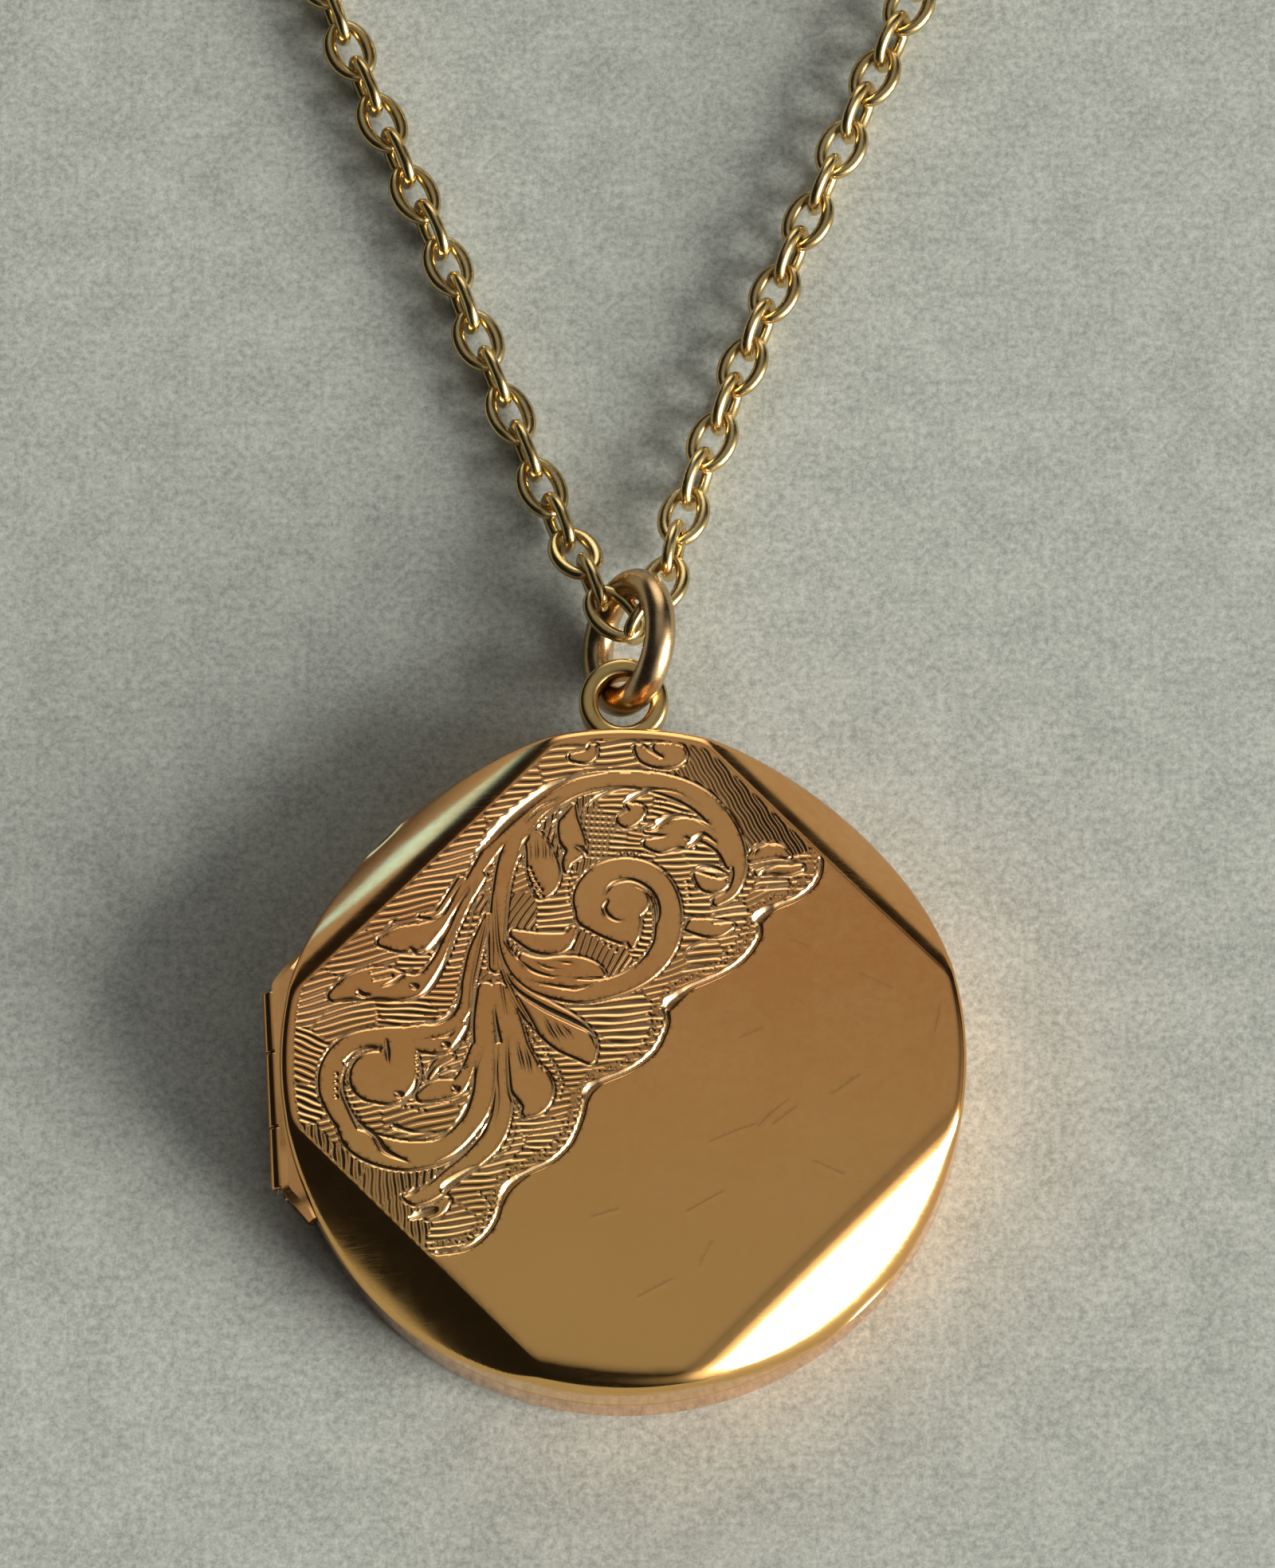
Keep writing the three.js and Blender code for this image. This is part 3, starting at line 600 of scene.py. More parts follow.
# Single cuts: (x, y, width) along each. The wide ones are bright gouges.
CUTS = [
    # inside the central spiral
    [(-0.75, 6.5, 0.1), (-0.4, 6.95, 0.2), (0.25, 7.1, 0.18), (0.85, 6.85, 0.2), (1.25, 6.4, 0.22),
     (1.4, 5.8, 0.2), (1.3, 5.2, 0.1)],
    [(-0.6, 6.25, 0.14), (-0.75, 5.95, 0.22), (-0.6, 5.65, 0.2), (-0.3, 5.45, 0.14), (0.1, 5.4, 0.06)],
    # gouges at the border's cusps
    [(6.3, 6.05, 0.1), (5.7, 5.85, 0.45), (5.3, 5.5, 0.6), (5.15, 5.2, 0.1)],
    [(2.9, 2.75, 0.1), (2.3, 2.45, 0.4), (1.8, 2.05, 0.6), (1.6, 1.6, 0.1)],
    [(-0.5, -1.0, 0.1), (-1.1, -1.25, 0.4), (-1.4, -1.55, 0.45), (-1.5, -2.2, 0.1)],
    [(-3.5, -4.75, 0.1), (-4.2, -5.1, 0.4), (-4.6, -5.5, 0.45), (-4.85, -6.2, 0.25), (-4.9, -6.5, 0.1)],
    # gouges on the long arc and leaves
    [(-6.1, 7.9, 0.15), (-5.4, 8.7, 0.4), (-4.7, 9.5, 0.6), (-3.8, 10.3, 0.6), (-2.9, 10.95, 0.45),
     (-1.9, 11.35, 0.2), (-0.6, 11.6, 0.12)],
    [(-1.7, 9.9, 0.1), (-1.2, 10.4, 0.25), (-0.5, 10.8, 0.25), (0.2, 10.9, 0.1)],
    [(-0.05, 10.2, 0.1), (0.3, 10.5, 0.35), (0.8, 10.75, 0.35), (1.3, 10.85, 0.15), (2.2, 10.7, 0.1),
     (3.1, 10.1, 0.05)],
    [(0.6, 9.2, 0.1), (1.2, 9.2, 0.25), (1.5, 9.5, 0.45), (2.0, 9.75, 0.3), (2.7, 9.7, 0.15),
     (3.6, 9.1, 0.08)],
    [(2.5, 8.4, 0.1), (2.8, 8.7, 0.4), (3.2, 8.95, 0.25), (3.7, 8.6, 0.1)],
    [(2.8, 7.4, 0.1), (3.1, 7.65, 0.25), (3.6, 7.6, 0.3), (4.2, 7.3, 0.1)],
    [(5.15, 8.1, 0.1), (5.35, 8.45, 0.2), (5.7, 8.6, 0.15), (6.05, 8.75, 0.1)],
    [(5.25, 7.0, 0.15), (5.6, 7.5, 0.22), (6.2, 7.75, 0.15), (6.7, 7.8, 0.05)],
    [(5.4, 7.05, 0.2), (6.5, 7.1, 0.22)], [(5.3, 6.72, 0.2), (6.5, 6.8, 0.22)],
    [(3.6, 5.7, 0.18), (4.9, 5.85, 0.2)], [(3.6, 5.35, 0.18), (4.8, 5.45, 0.2)],
    [(2.5, 3.8, 0.2), (4.2, 4.0, 0.2)], [(2.4, 3.4, 0.2), (4.0, 3.65, 0.2)],
    [(2.35, 4.9, 0.1), (2.5, 5.35, 0.2), (2.8, 5.6, 0.15), (3.3, 5.65, 0.1)],
    [(2.35, 3.9, 0.1), (2.7, 4.35, 0.2), (3.2, 4.55, 0.18), (3.9, 4.65, 0.06)],
    # gouges on the left leaves
    [(-8.0, 4.0, 0.1), (-7.5, 4.4, 0.35), (-7.0, 5.1, 0.3), (-6.6, 5.9, 0.18), (-6.1, 6.8, 0.1)],
    [(-7.6, 5.5, 0.08), (-7.1, 5.8, 0.22), (-6.7, 6.5, 0.16), (-6.3, 7.2, 0.08)],
    [(-8.1, 2.3, 0.1), (-7.6, 2.7, 0.32), (-7.1, 3.6, 0.25), (-6.8, 4.5, 0.15), (-6.4, 5.6, 0.08)],
    [(-9.5, 2.75, 0.1), (-9.0, 3.0, 0.25), (-8.3, 3.5, 0.12)], [(-9.9, 3.35, 0.2), (-9.0, 3.55, 0.2)],
    [(-9.8, 3.05, 0.2), (-9.1, 3.2, 0.2)],
    [(-6.9, 0.0, 0.1), (-6.4, 0.6, 0.3), (-6.1, 1.2, 0.25), (-6.0, 2.0, 0.08)],
    [(-8.0, 1.2, 0.06), (-7.3, 1.3, 0.25), (-6.7, 1.7, 0.28), (-6.4, 2.4, 0.15), (-6.3, 3.6, 0.1),
     (-6.0, 5.0, 0.08)],
    # the lower scroll
    [(-10.9, -0.3, 0.25), (-10.5, 0.1, 0.18), (-9.9, 0.25, 0.15), (-9.4, 0.2, 0.1)],
    [(-9.3, 0.6, 0.12), (-9.25, 0.1, 0.22), (-9.2, -0.4, 0.06)],
    [(-10.9, -0.4, 0.15), (-11.0, -1.2, 0.2), (-10.8, -2.0, 0.22), (-10.3, -2.8, 0.25), (-9.7, -3.3, 0.3),
     (-9.3, -3.9, 0.3), (-8.4, -4.35, 0.1)],
    [(-8.1, -0.8, 0.1), (-8.2, -1.4, 0.3), (-8.7, -1.9, 0.15)],
    [(-7.7, -0.9, 0.25), (-7.4, -0.5, 0.15), (-6.8, -0.1, 0.08)],
    [(-6.9, -0.6, 0.2), (-6.4, -0.6, 0.2), (-6.0, -0.4, 0.06)],
    [(-9.0, -2.9, 0.3), (-8.2, -3.15, 0.2), (-7.4, -3.15, 0.12)],
    [(-6.7, -3.0, 0.1), (-6.3, -2.5, 0.28), (-6.0, -1.8, 0.22), (-5.8, -0.8, 0.12), (-5.5, 0.3, 0.05)],
    [(-7.3, -4.4, 0.12), (-6.5, -4.0, 0.25), (-5.8, -3.3, 0.25), (-5.2, -2.3, 0.18), (-5.0, -1.0, 0.12),
     (-5.05, 0.8, 0.06)],
    # the stem's long lines
    [(-5.1, 7.0, 0.05), (-5.0, 5.6, 0.1), (-4.85, 4.2, 0.14), (-4.3, 3.1, 0.14), (-3.2, 2.3, 0.12),
     (-2.0, 1.9, 0.05)],
    [(-4.95, 5.2, 0.05), (-4.8, 3.8, 0.1), (-4.3, 2.7, 0.18), (-3.2, 1.9, 0.28), (-2.0, 1.3, 0.32),
     (-1.3, 0.9, 0.25), (-1.05, 0.3, 0.1)],
    [(-4.9, 4.6, 0.05), (-4.6, 3.3, 0.12), (-4.1, 2.2, 0.14), (-3.6, 1.3, 0.14), (-3.1, 0.4, 0.12),
     (-2.7, -0.3, 0.05)],
    [(-4.95, 4.4, 0.05), (-4.8, 3.0, 0.12), (-4.6, 1.6, 0.08)],
    [(-5.2, 6.0, 0.05), (-5.15, 4.4, 0.12), (-5.15, 3.2, 0.05)],
    [(-5.5, 7.2, 0.05), (-5.45, 5.6, 0.1), (-5.7, 4.2, 0.14), (-5.95, 2.8, 0.14), (-6.05, 1.4, 0.1),
     (-6.2, 0.6, 0.05)],
    [(-5.3, 6.6, 0.05), (-5.35, 5.2, 0.1), (-5.6, 3.8, 0.06)],
    [(-5.8, 7.4, 0.05), (-5.9, 6.0, 0.12), (-6.2, 4.4, 0.1), (-6.35, 2.8, 0.06)],
    [(-4.9, 0.9, 0.05), (-4.95, -0.6, 0.1), (-4.9, -2.0, 0.1), (-5.1, -3.0, 0.05)],
    [(-4.55, 0.8, 0.05), (-4.5, -0.6, 0.16), (-4.35, -1.8, 0.2), (-3.85, -2.6, 0.12)],
    [(-4.25, -2.4, 0.05), (-4.25, -3.2, 0.12), (-4.55, -3.9, 0.15), (-5.3, -4.45, 0.15), (-6.0, -4.7, 0.25),
     (-6.9, -5.3, 0.4), (-7.05, -5.6, 0.1)],
    [(-8.5, -5.7, 0.15), (-8.2, -5.5, 0.3), (-7.8, -5.3, 0.1)],
    # short strokes that shade the leaves
    [(-4.2, 0.6, 0.05), (-4.0, -0.2, 0.14), (-3.85, -0.8, 0.05)],
    [(-3.9, 0.4, 0.05), (-3.7, -0.3, 0.14), (-3.6, -0.9, 0.05)],
    [(-3.5, 0.4, 0.05), (-3.35, -0.2, 0.13), (-3.3, -0.8, 0.05)],
    [(-3.2, 1.6, 0.05), (-2.8, 0.9, 0.14), (-2.5, 0.4, 0.05)],
    [(-2.8, 1.5, 0.05), (-2.5, 0.9, 0.13), (-2.2, 0.5, 0.05)],
    [(-2.5, 1.2, 0.05), (-2.2, 0.9, 0.12), (-2.0, 0.6, 0.05)],
    [(-3.6, 0.1, 0.05), (-3.2, -0.5, 0.12), (-3.1, -0.9, 0.05)],
    [(-4.3, 4.5, 0.05), (-3.8, 4.1, 0.2), (-3.0, 3.95, 0.18), (-2.0, 4.15, 0.12), (-1.5, 4.2, 0.05)],
    [(-4.2, 3.9, 0.05), (-3.6, 3.4, 0.18), (-2.9, 3.15, 0.12), (-2.3, 3.1, 0.05)],
    [(-3.6, 3.8, 0.05), (-3.0, 3.5, 0.12), (-2.3, 3.4, 0.05)],
    [(-2.8, 3.75, 0.05), (-2.2, 3.7, 0.12), (-1.9, 3.65, 0.05)],
    [(-3.9, 3.0, 0.05), (-3.0, 2.8, 0.12), (-1.9, 2.65, 0.18), (-1.2, 2.8, 0.08)],
    [(-3.45, 8.9, 0.06), (-3.4, 8.2, 0.12), (-3.45, 7.9, 0.05)],
    [(-3.15, 8.9, 0.06), (-3.1, 8.2, 0.12), (-3.15, 7.9, 0.05)],
    [(-2.85, 8.9, 0.06), (-2.85, 8.3, 0.12), (-2.8, 7.8, 0.05)],
    [(-3.75, 8.8, 0.06), (-3.7, 8.2, 0.1), (-3.7, 7.8, 0.05)],
    [(-3.9, 9.5, 0.08), (-3.3, 10.1, 0.18), (-2.5, 10.5, 0.08)],
    [(-3.7, 9.1, 0.08), (-3.1, 9.8, 0.18), (-2.4, 10.3, 0.08)],
    [(-3.1, 9.1, 0.08), (-2.6, 9.6, 0.22), (-1.95, 10.3, 0.1)],
    [(-4.15, 8.2, 0.1), (-3.9, 8.7, 0.22), (-3.7, 9.0, 0.08)],
    [(-2.4, 8.0, 0.06), (-2.45, 7.5, 0.16), (-2.3, 7.1, 0.06)],
    # small three-cornered nicks
    [(-8.45, 4.35, 0.08), (-8.25, 4.15, 0.3), (-8.05, 4.1, 0.02)],
    [(-10.4, 2.5, 0.28), (-10.2, 2.4, 0.25), (-9.8, 2.45, 0.02)],
    [(-8.4, 2.85, 0.08), (-8.2, 2.75, 0.28), (-8.0, 2.8, 0.02)],
    [(-7.1, 0.45, 0.08), (-6.95, 0.35, 0.3), (-6.75, 0.45, 0.02)],
    [(-8.95, -1.55, 0.08), (-8.75, -1.65, 0.3), (-8.55, -1.6, 0.02)],
    [(-6.7, -1.3, 0.08), (-6.55, -1.45, 0.3), (-6.35, -1.3, 0.02)],
    [(-8.3, -6.6, 0.25), (-7.9, -6.45, 0.45), (-7.4, -6.3, 0.3), (-7.2, -6.2, 0.05)],
    [(-1.9, 8.5, 0.08), (-1.55, 8.3, 0.35), (-1.4, 8.1, 0.05)],
    [(-9.4, 5.1, 0.12), (-9.1, 5.4, 0.22), (-8.9, 5.5, 0.05)],
]  # fmt: skip

# Rows of small round punch marks.
BEADS = [
    [(-1.95, 5.35), (-1.5, 5.05), (-1.1, 4.8), (-0.75, 4.5), (-0.3, 4.2)],
    [(-3.95, 7.7), (-3.75, 7.2), (-3.5, 6.8), (-3.2, 6.4)], [(-3.7, 7.6), (-3.5, 7.1), (-3.25, 6.7)],
    [(-2.15, 6.2), (-2.2, 6.9), (-2.0, 7.5)], [(2.5, 7.0), (2.6, 6.3), (2.55, 5.6)],
    [(-0.7, 8.3), (0.1, 8.2), (0.9, 8.2)], [(3.9, 7.7), (4.15, 7.1)], [(-11.25, -0.8), (-11.25, -1.7)],
    [(-10.75, -0.8), (-10.75, -1.6), (-10.5, -2.3), (-10.2, -2.8)], [(-8.1, -0.1), (-8.05, -0.9)],
    [(-8.6, -2.1), (-7.8, -2.3)],
    [(-3.55, 0.55), (-3.2, 0.15), (-2.85, -0.2), (-2.6, -0.6), (-2.4, -1.2), (-2.5, -1.8)],
    [(-6.8, -7.5), (-6.3, -7.55), (-5.9, -7.3)], [(-5.6, -5.6), (-5.2, -6.1), (-5.3, -6.6)],
    [(4.6, 5.1), (4.3, 4.4), (3.8, 3.9)], [(1.0, 1.6), (1.1, 1.0), (0.8, 0.5)],
    [(-2.2, -2.8), (-2.6, -3.4), (-3.1, -3.9)],
]  # fmt: skip

# Fine scratches in the plain part.
SCRATCHES = [
    [(5.3, -3.0, 0.12), (5.9, -2.4, 0.13), (6.5, -1.9, 0.11)],
    [(5.9, -2.9, 0.11), (6.4, -2.5, 0.12), (6.8, -2.2, 0.11)], [(8.2, -1.7, 0.11), (9.3, -0.9, 0.12)],
    [(3.4, -3.6, 0.11), (4.6, -3.1, 0.12), (5.2, -2.9, 0.11)],
    [(12.3, 0.9, 0.11), (12.45, 1.6, 0.12), (12.5, 2.0, 0.11)], [(6.6, 4.6, 0.11), (7.3, 4.3, 0.11)],
    [(2.5, -6.4, 0.11), (3.9, -5.6, 0.12)], [(-1.2, -6.6, 0.11), (-0.2, -6.3, 0.11)],
    [(7.5, -4.4, 0.11), (8.6, -4.9, 0.12)], [(0.6, -9.8, 0.11), (1.9, -9.1, 0.11)],
    [(9.4, 3.2, 0.11), (10.6, 2.6, 0.11)], [(4.6, 0.6, 0.11), (5.5, 1.0, 0.11)],
    [(3.0, -8.6, 0.11), (3.5, -7.6, 0.11)],
]  # fmt: skip

# The hatched ground: (x, y, direction of the lines in degrees, distance apart). The nearest entry rules.
HATCHING = [
    (-4.5, 12.0, 5, 0.29), (-2.5, 12.6, 4, 0.3), (-0.4, 12.2, 5, 0.28), (-7.5, 8.2, 12, 0.27),
    (-9.5, 6.0, 12, 0.27), (-10.8, 4.2, 14, 0.27), (-12.0, 2.4, 15, 0.27), (-11.0, 1.5, 14, 0.26),
    (-8.4, 1.7, -4, 0.24), (-7.2, 2.9, 2, 0.25), (-6.4, 4.3, 10, 0.27), (3.0, 12.1, -61, 0.3),
    (4.6, 10.4, -61, 0.3), (5.9, 9.0, -61, 0.3), (6.3, 7.0, 4, 0.3), (6.9, 6.8, 4, 0.28),
    (5.6, 6.2, 30, 0.24), (4.4, 7.0, 6, 0.28), (3.2, 7.9, -3, 0.26), (2.2, 7.3, 2, 0.27), (2.8, 6.2, 2, 0.27),
    (4.2, 5.6, 6, 0.3), (3.4, 3.8, 6, 0.31), (4.6, 4.4, 10, 0.26), (2.3, 2.9, 18, 0.24), (0.2, 10.3, 2, 0.26),
    (2.2, 10.2, -14, 0.22), (-1.0, 9.0, 80, 0.22), (0.2, 8.6, -4, 0.22), (-4.2, 7.3, 28, 0.28),
    (-4.1, 5.9, 58, 0.26), (-2.7, 5.9, 5, 0.27), (-1.5, 4.4, 66, 0.27), (-0.3, 3.8, 60, 0.25),
    (0.8, 4.5, -4, 0.25), (0.2, 1.0, 4, 0.31), (-0.8, -0.4, 4, 0.29), (-1.9, -0.9, 5, 0.26),
    (-2.3, -2.0, 14, 0.26), (-2.9, -3.3, 5, 0.25), (-4.7, -4.0, 12, 0.28), (-4.0, -4.6, 8, 0.25),
    (-5.4, -5.9, 8, 0.27), (-6.2, -7.0, 8, 0.26), (-8.6, -6.3, -88, 0.28), (-9.4, -5.2, -88, 0.3),
    (-10.9, -4.3, -86, 0.3), (-12.0, -3.6, -84, 0.28), (-12.3, -2.0, -24, 0.27), (-12.4, -0.3, -22, 0.27),
    (-11.2, -2.9, 12, 0.27), (-7.6, -2.5, 14, 0.3), (-7.8, -1.1, 20, 0.26), (-6.6, -0.9, 18, 0.27),
    (-7.6, 0.3, 8, 0.25), (-5.4, 2.2, 42, 0.22), (-5.1, 1.6, 42, 0.22),
]  # fmt: skip
# Where a second set of lines crosses the first: x, y and radius.
CROSS_HATCH = (-0.9, 9.0, 1.1)

# How deep each kind of cut is, and how far apart and how wide the punch marks are.
HATCH_DEPTH, CROSS_DEPTH, STIPPLE_DEPTH = 0.066, 0.06, 0.08
OUTLINE_DEPTH, BORDER_DEPTH, GOUGE_DEPTH = 0.08, 0.13, 0.2
SCRATCH_DEPTH, PUNCH_DEPTH = 0.017, 0.09
PUNCH_STEP, PUNCH_WIDTH = 0.27, 0.2

# The grid that the depths are worked out on.
CELL = 0.025
GRID_X = np.arange(-13.3, 13.0, CELL)
GRID_Y = np.arange(-10.5, 13.4, CELL)


def stroke_field(strokes, reach):
    """On the grid: the least signed distance to any stroke's edge, and that stroke's half width there."""
    edge = np.full((len(GRID_Y), len(GRID_X)), 9.0)
    half = np.zeros_like(edge)
    for stroke in strokes:
        for x, y, w in even_steps(smooth_line(stroke, 10), 0.035):
            span = w / 2 + reach
            i0, i1 = np.searchsorted(GRID_X, (x - span, x + span))
            j0, j1 = np.searchsorted(GRID_Y, (y - span, y + span))
            if i0 == i1 or j0 == j1:
                continue
            d = np.hypot(GRID_X[i0:i1][None, :] - x, GRID_Y[j0:j1][:, None] - y) - w / 2
            window = edge[j0:j1, i0:i1]
            nearer = d < window
            window[nearer] = d[nearer]
            half[j0:j1, i0:i1][nearer] = w / 2
    return edge, half


def ridge(distance, half_width):
    """1 where a distance is nought, falling evenly to 0 at half the width."""
    return np.clip(1 - np.abs(distance) / half_width, 0, 1)


def inside_polygon(x, y, corners):
    inside = np.zeros(x.shape, bool)
    for (ax, ay), (bx, by) in zip(corners, np.roll(corners, -1, 0)):
        if ay == by:
            continue
        crosses = (ay > y) != (by > y)
        inside ^= crosses & (x < (bx - ax) * (y - ay) / (by - ay) + ax)
    return inside


def hatching(x, y):
    """Depth of the ground's parallel cuts, each with one steep side."""
    nearest = np.full(x.shape, 1e9)
    turn = np.zeros(x.shape)
    pitch = np.full(x.shape, 0.27)
    for hx, hy, degrees, gap in HATCHING:
        d = np.hypot(x - hx, y - hy)
        win = d < nearest
        nearest = np.where(win, d, nearest)
        turn[win] = math.radians(degrees)
        pitch[win] = gap
    wander = 0.03 * np.sin(2.1 * x + 1.3 * y) + 0.02 * np.sin(5.3 * y - 3.1 * x)
    across = y * np.cos(turn) - x * np.sin(turn) + wander
    phase = (across / pitch) % 1.0
    groove = np.where(phase < 0.38, phase / 0.38, (1 - phase) / 0.62)
    groove = np.clip(1.35 * groove - 0.2, 0, 1)
    vary = 0.85 + 0.25 * np.sin(np.floor(across / pitch) * 12.9898)
    cuts = HATCH_DEPTH * groove * vary
    cx, cy, reach = CROSS_HATCH
    crossed = np.hypot(x - cx, y - cy) < reach
    second_lines = ((y + 0.06 * x) / 0.25) % 1.0
    return np.where(crossed, np.maximum(cuts, CROSS_DEPTH * np.abs(2 * second_lines - 1)), cuts)


def engraved_depth():
    """Depth of the engraving over the grid."""
    x, y = np.meshgrid(GRID_X, GRID_Y)
    border = np.vstack([smooth_line(s, 8) for s in SCALLOPS])
    region = np.vstack([border, [(-9, -10), (-14, -6), (-14, 14), (8.5, 14), (8.5, 8.3)]])
    inside = inside_polygon(x, y, region)
    figure, _ = stroke_field(SCROLLS, 0.5)
    to_border, _ = stroke_field([[(*p, 0.0) for p in s] for s in SCALLOPS], 0.9)
    to_border = np.where(inside, to_border, -to_border)
    hatch = hatching(x, y) * np.clip((figure - 0.07) / 0.07, 0, 1) * np.clip((to_border - 0.1) / 0.1, 0, 1)

    dots = np.cos((x * 0.8 + y * 0.6) * 2 * np.pi / 0.3) * np.cos((x * 0.6 - y * 0.8) * 2 * np.pi / 0.26)
    band = ridge(to_border - 0.42, 0.22) * (figure > 0.1) * inside
    stipple = STIPPLE_DEPTH * np.clip(dots, 0, 1) * band
    hatch = np.where(band > 0, np.maximum(hatch * (1 - 0.6 * band), stipple), hatch)

    outline = OUTLINE_DEPTH * ridge(figure - 0.06, 0.085) * inside
    rim_cut = BORDER_DEPTH * ridge(to_border - 0.02, 0.14)
    cut, half = stroke_field(CUTS, 0.1)
    bite = np.clip(-cut / np.maximum(half, 0.02), 0, 1) * np.minimum(half * 0.85, GOUGE_DEPTH)
    scratch, _ = stroke_field(SCRATCHES, 0.05)
    scratch = np.clip(-scratch / 0.06, 0, 1) * SCRATCH_DEPTH
    marks = [p for path in BEADS for p in even_steps(smooth_line(path), PUNCH_STEP)]
    short = [[(px, py, PUNCH_WIDTH), (px + 0.02, py, PUNCH_WIDTH)] for px, py in marks]
    punch, _ = stroke_field(short, 0.05)
    punch = np.clip(-punch / 0.1, 0, 1) * PUNCH_DEPTH
    return np.maximum.reduce([hatch, outline, rim_cut, bite, scratch, punch])


def sampled(raster, x, y):
    """The grid's values between its cells; 0 outside it."""
    u = (x - GRID_X[0]) / CELL
    v = (y - GRID_Y[0]) / CELL
    ok = (u >= 0) & (v >= 0) & (u < len(GRID_X) - 1.001) & (v < len(GRID_Y) - 1.001)
    u, v = np.where(ok, u, 0), np.where(ok, v, 0)
    i, j = u.astype(int), v.astype(int)
    fu, fv = u - i, v - j
    low = raster[j, i] * (1 - fu) + raster[j, i + 1] * fu
    high = raster[j + 1, i] * (1 - fu) + raster[j + 1, i + 1] * fu
    return np.where(ok, low * (1 - fv) + high * fv, 0)


# ---- the front cover -------------------------------------------------------------------------------

AROUND = 480
FIELD_MARGIN = 0.1
FINE_STEP, COARSE_STEP = 0.055, 0.22
PAINTED_GLINT_DEPTH = 0.09  # a cut this deep takes the whole of the paler, creamier tint, a painted highlight
FAN_HEIGHT = 3.2  # the rim's rows are traced from this height, under the field's edge


def soft_max(a, b, k):
    h = np.maximum(k - np.abs(a - b), 0) / k
    return np.maximum(a, b) + h * h * k * 0.25


def outside_by(x, y, z, inset=0.0):
    """Signed distance, roughly, from the front half's outer face set in by inset: negative inside."""
    r = np.hypot(x, y)
    crown = z - (CASE_DEPTH - DOME * (r / CASE_RADIUS) ** 2) + inset
    from_foot = (np.arctan2(y, x) - BROAD_SHOULDER[0]) / BROAD_SHOULDER[1]
    shoulder = 0.42 + 0.75 * np.exp(-(from_foot**2))
    out = soft_max(crown, r - CASE_RADIUS + inset, np.maximum(shoulder - inset, 0.3))
    for (degrees, edge), (slope, swell), blend in zip(BEVELS, BEVEL_SWELL, BEVEL_BLEND):
        a = math.radians(degrees)
        past = x * math.cos(a) + y * math.sin(a) - edge
        fall = slope * past + swell * np.maximum(past, 0) ** 2
        out = soft_max(out, (z - (CASE_DEPTH - DOME) + fall) * 0.8 + inset, blend)
    return out


def halved(low, high, is_outside, rounds):
    """Bisection, all at once: the last inside values and the first outside ones."""
    for _ in range(rounds):
        middle = (low + high) / 2
        out = is_outside(middle)
        high = np.where(out, middle, high)
        low = np.where(out, low, middle)
    return low, high


def top_height(x, y):
    """Height of the smooth front above a point."""
    ends = np.full(x.shape, 3.0), np.full(x.shape, 5.4)
    return sum(halved(*ends, lambda z: outside_by(x, y, z) > 0, 26)) / 2


def field_edge(angles, margin):
    """Radius of the flat field's edge at each angle."""
    r = np.full(angles.shape, CASE_RADIUS - 0.5)
    for degrees, edge in BEVELS:
        off = np.cos(angles - math.radians(degrees))
        r = np.where(off > 0.1, np.minimum(r, (edge - margin) / np.maximum(off, 0.1)), r)
    return r


def rim_rows(angles, rows, inset, margin, bottom):
    """Rows of points from the field's edge over the bevels and down the wall."""
    start = field_edge(angles, margin)
    fan = np.radians(np.linspace(90, -12, 260))[:, None]
    x0, y0 = np.cos(angles), np.sin(angles)

    def is_outside(t):
        r = start + t * np.cos(fan)
        return outside_by(r * x0, r * y0, FAN_HEIGHT + t * np.sin(fan), inset) > 0

    low, _ = halved(np.zeros((len(fan), len(angles))), 4.6, is_outside, 24)
    r = start + low * np.cos(fan)
    z = FAN_HEIGHT + low * np.sin(fan)
    points = np.zeros((rows, len(angles), 3))
    for j in range(len(angles)):
        keep = z[:, j] > bottom + 0.02
        line = np.stack([np.append(r[keep, j], CASE_RADIUS - inset), np.append(z[keep, j], bottom)], 1)
        along = lengths_along(line)
        marks = np.linspace(0, 1, rows) ** 1.2 * along[-1]
        rr, zz = (np.interp(marks, along, column) for column in line.T)
        points[:, j] = np.stack([rr * x0[j], rr * y0[j], zz], 1)
    return points


def lattice(step, low, high):
    """Points of a triangular lattice over a rectangle."""
    xs = np.arange(low[0], high[0], step)
    ys = np.arange(low[1], high[1], step * math.sqrt(3) / 2)
    gx, gy = np.meshgrid(xs, ys)
    gx[1::2] += step / 2
    return gx.ravel(), gy.ravel()


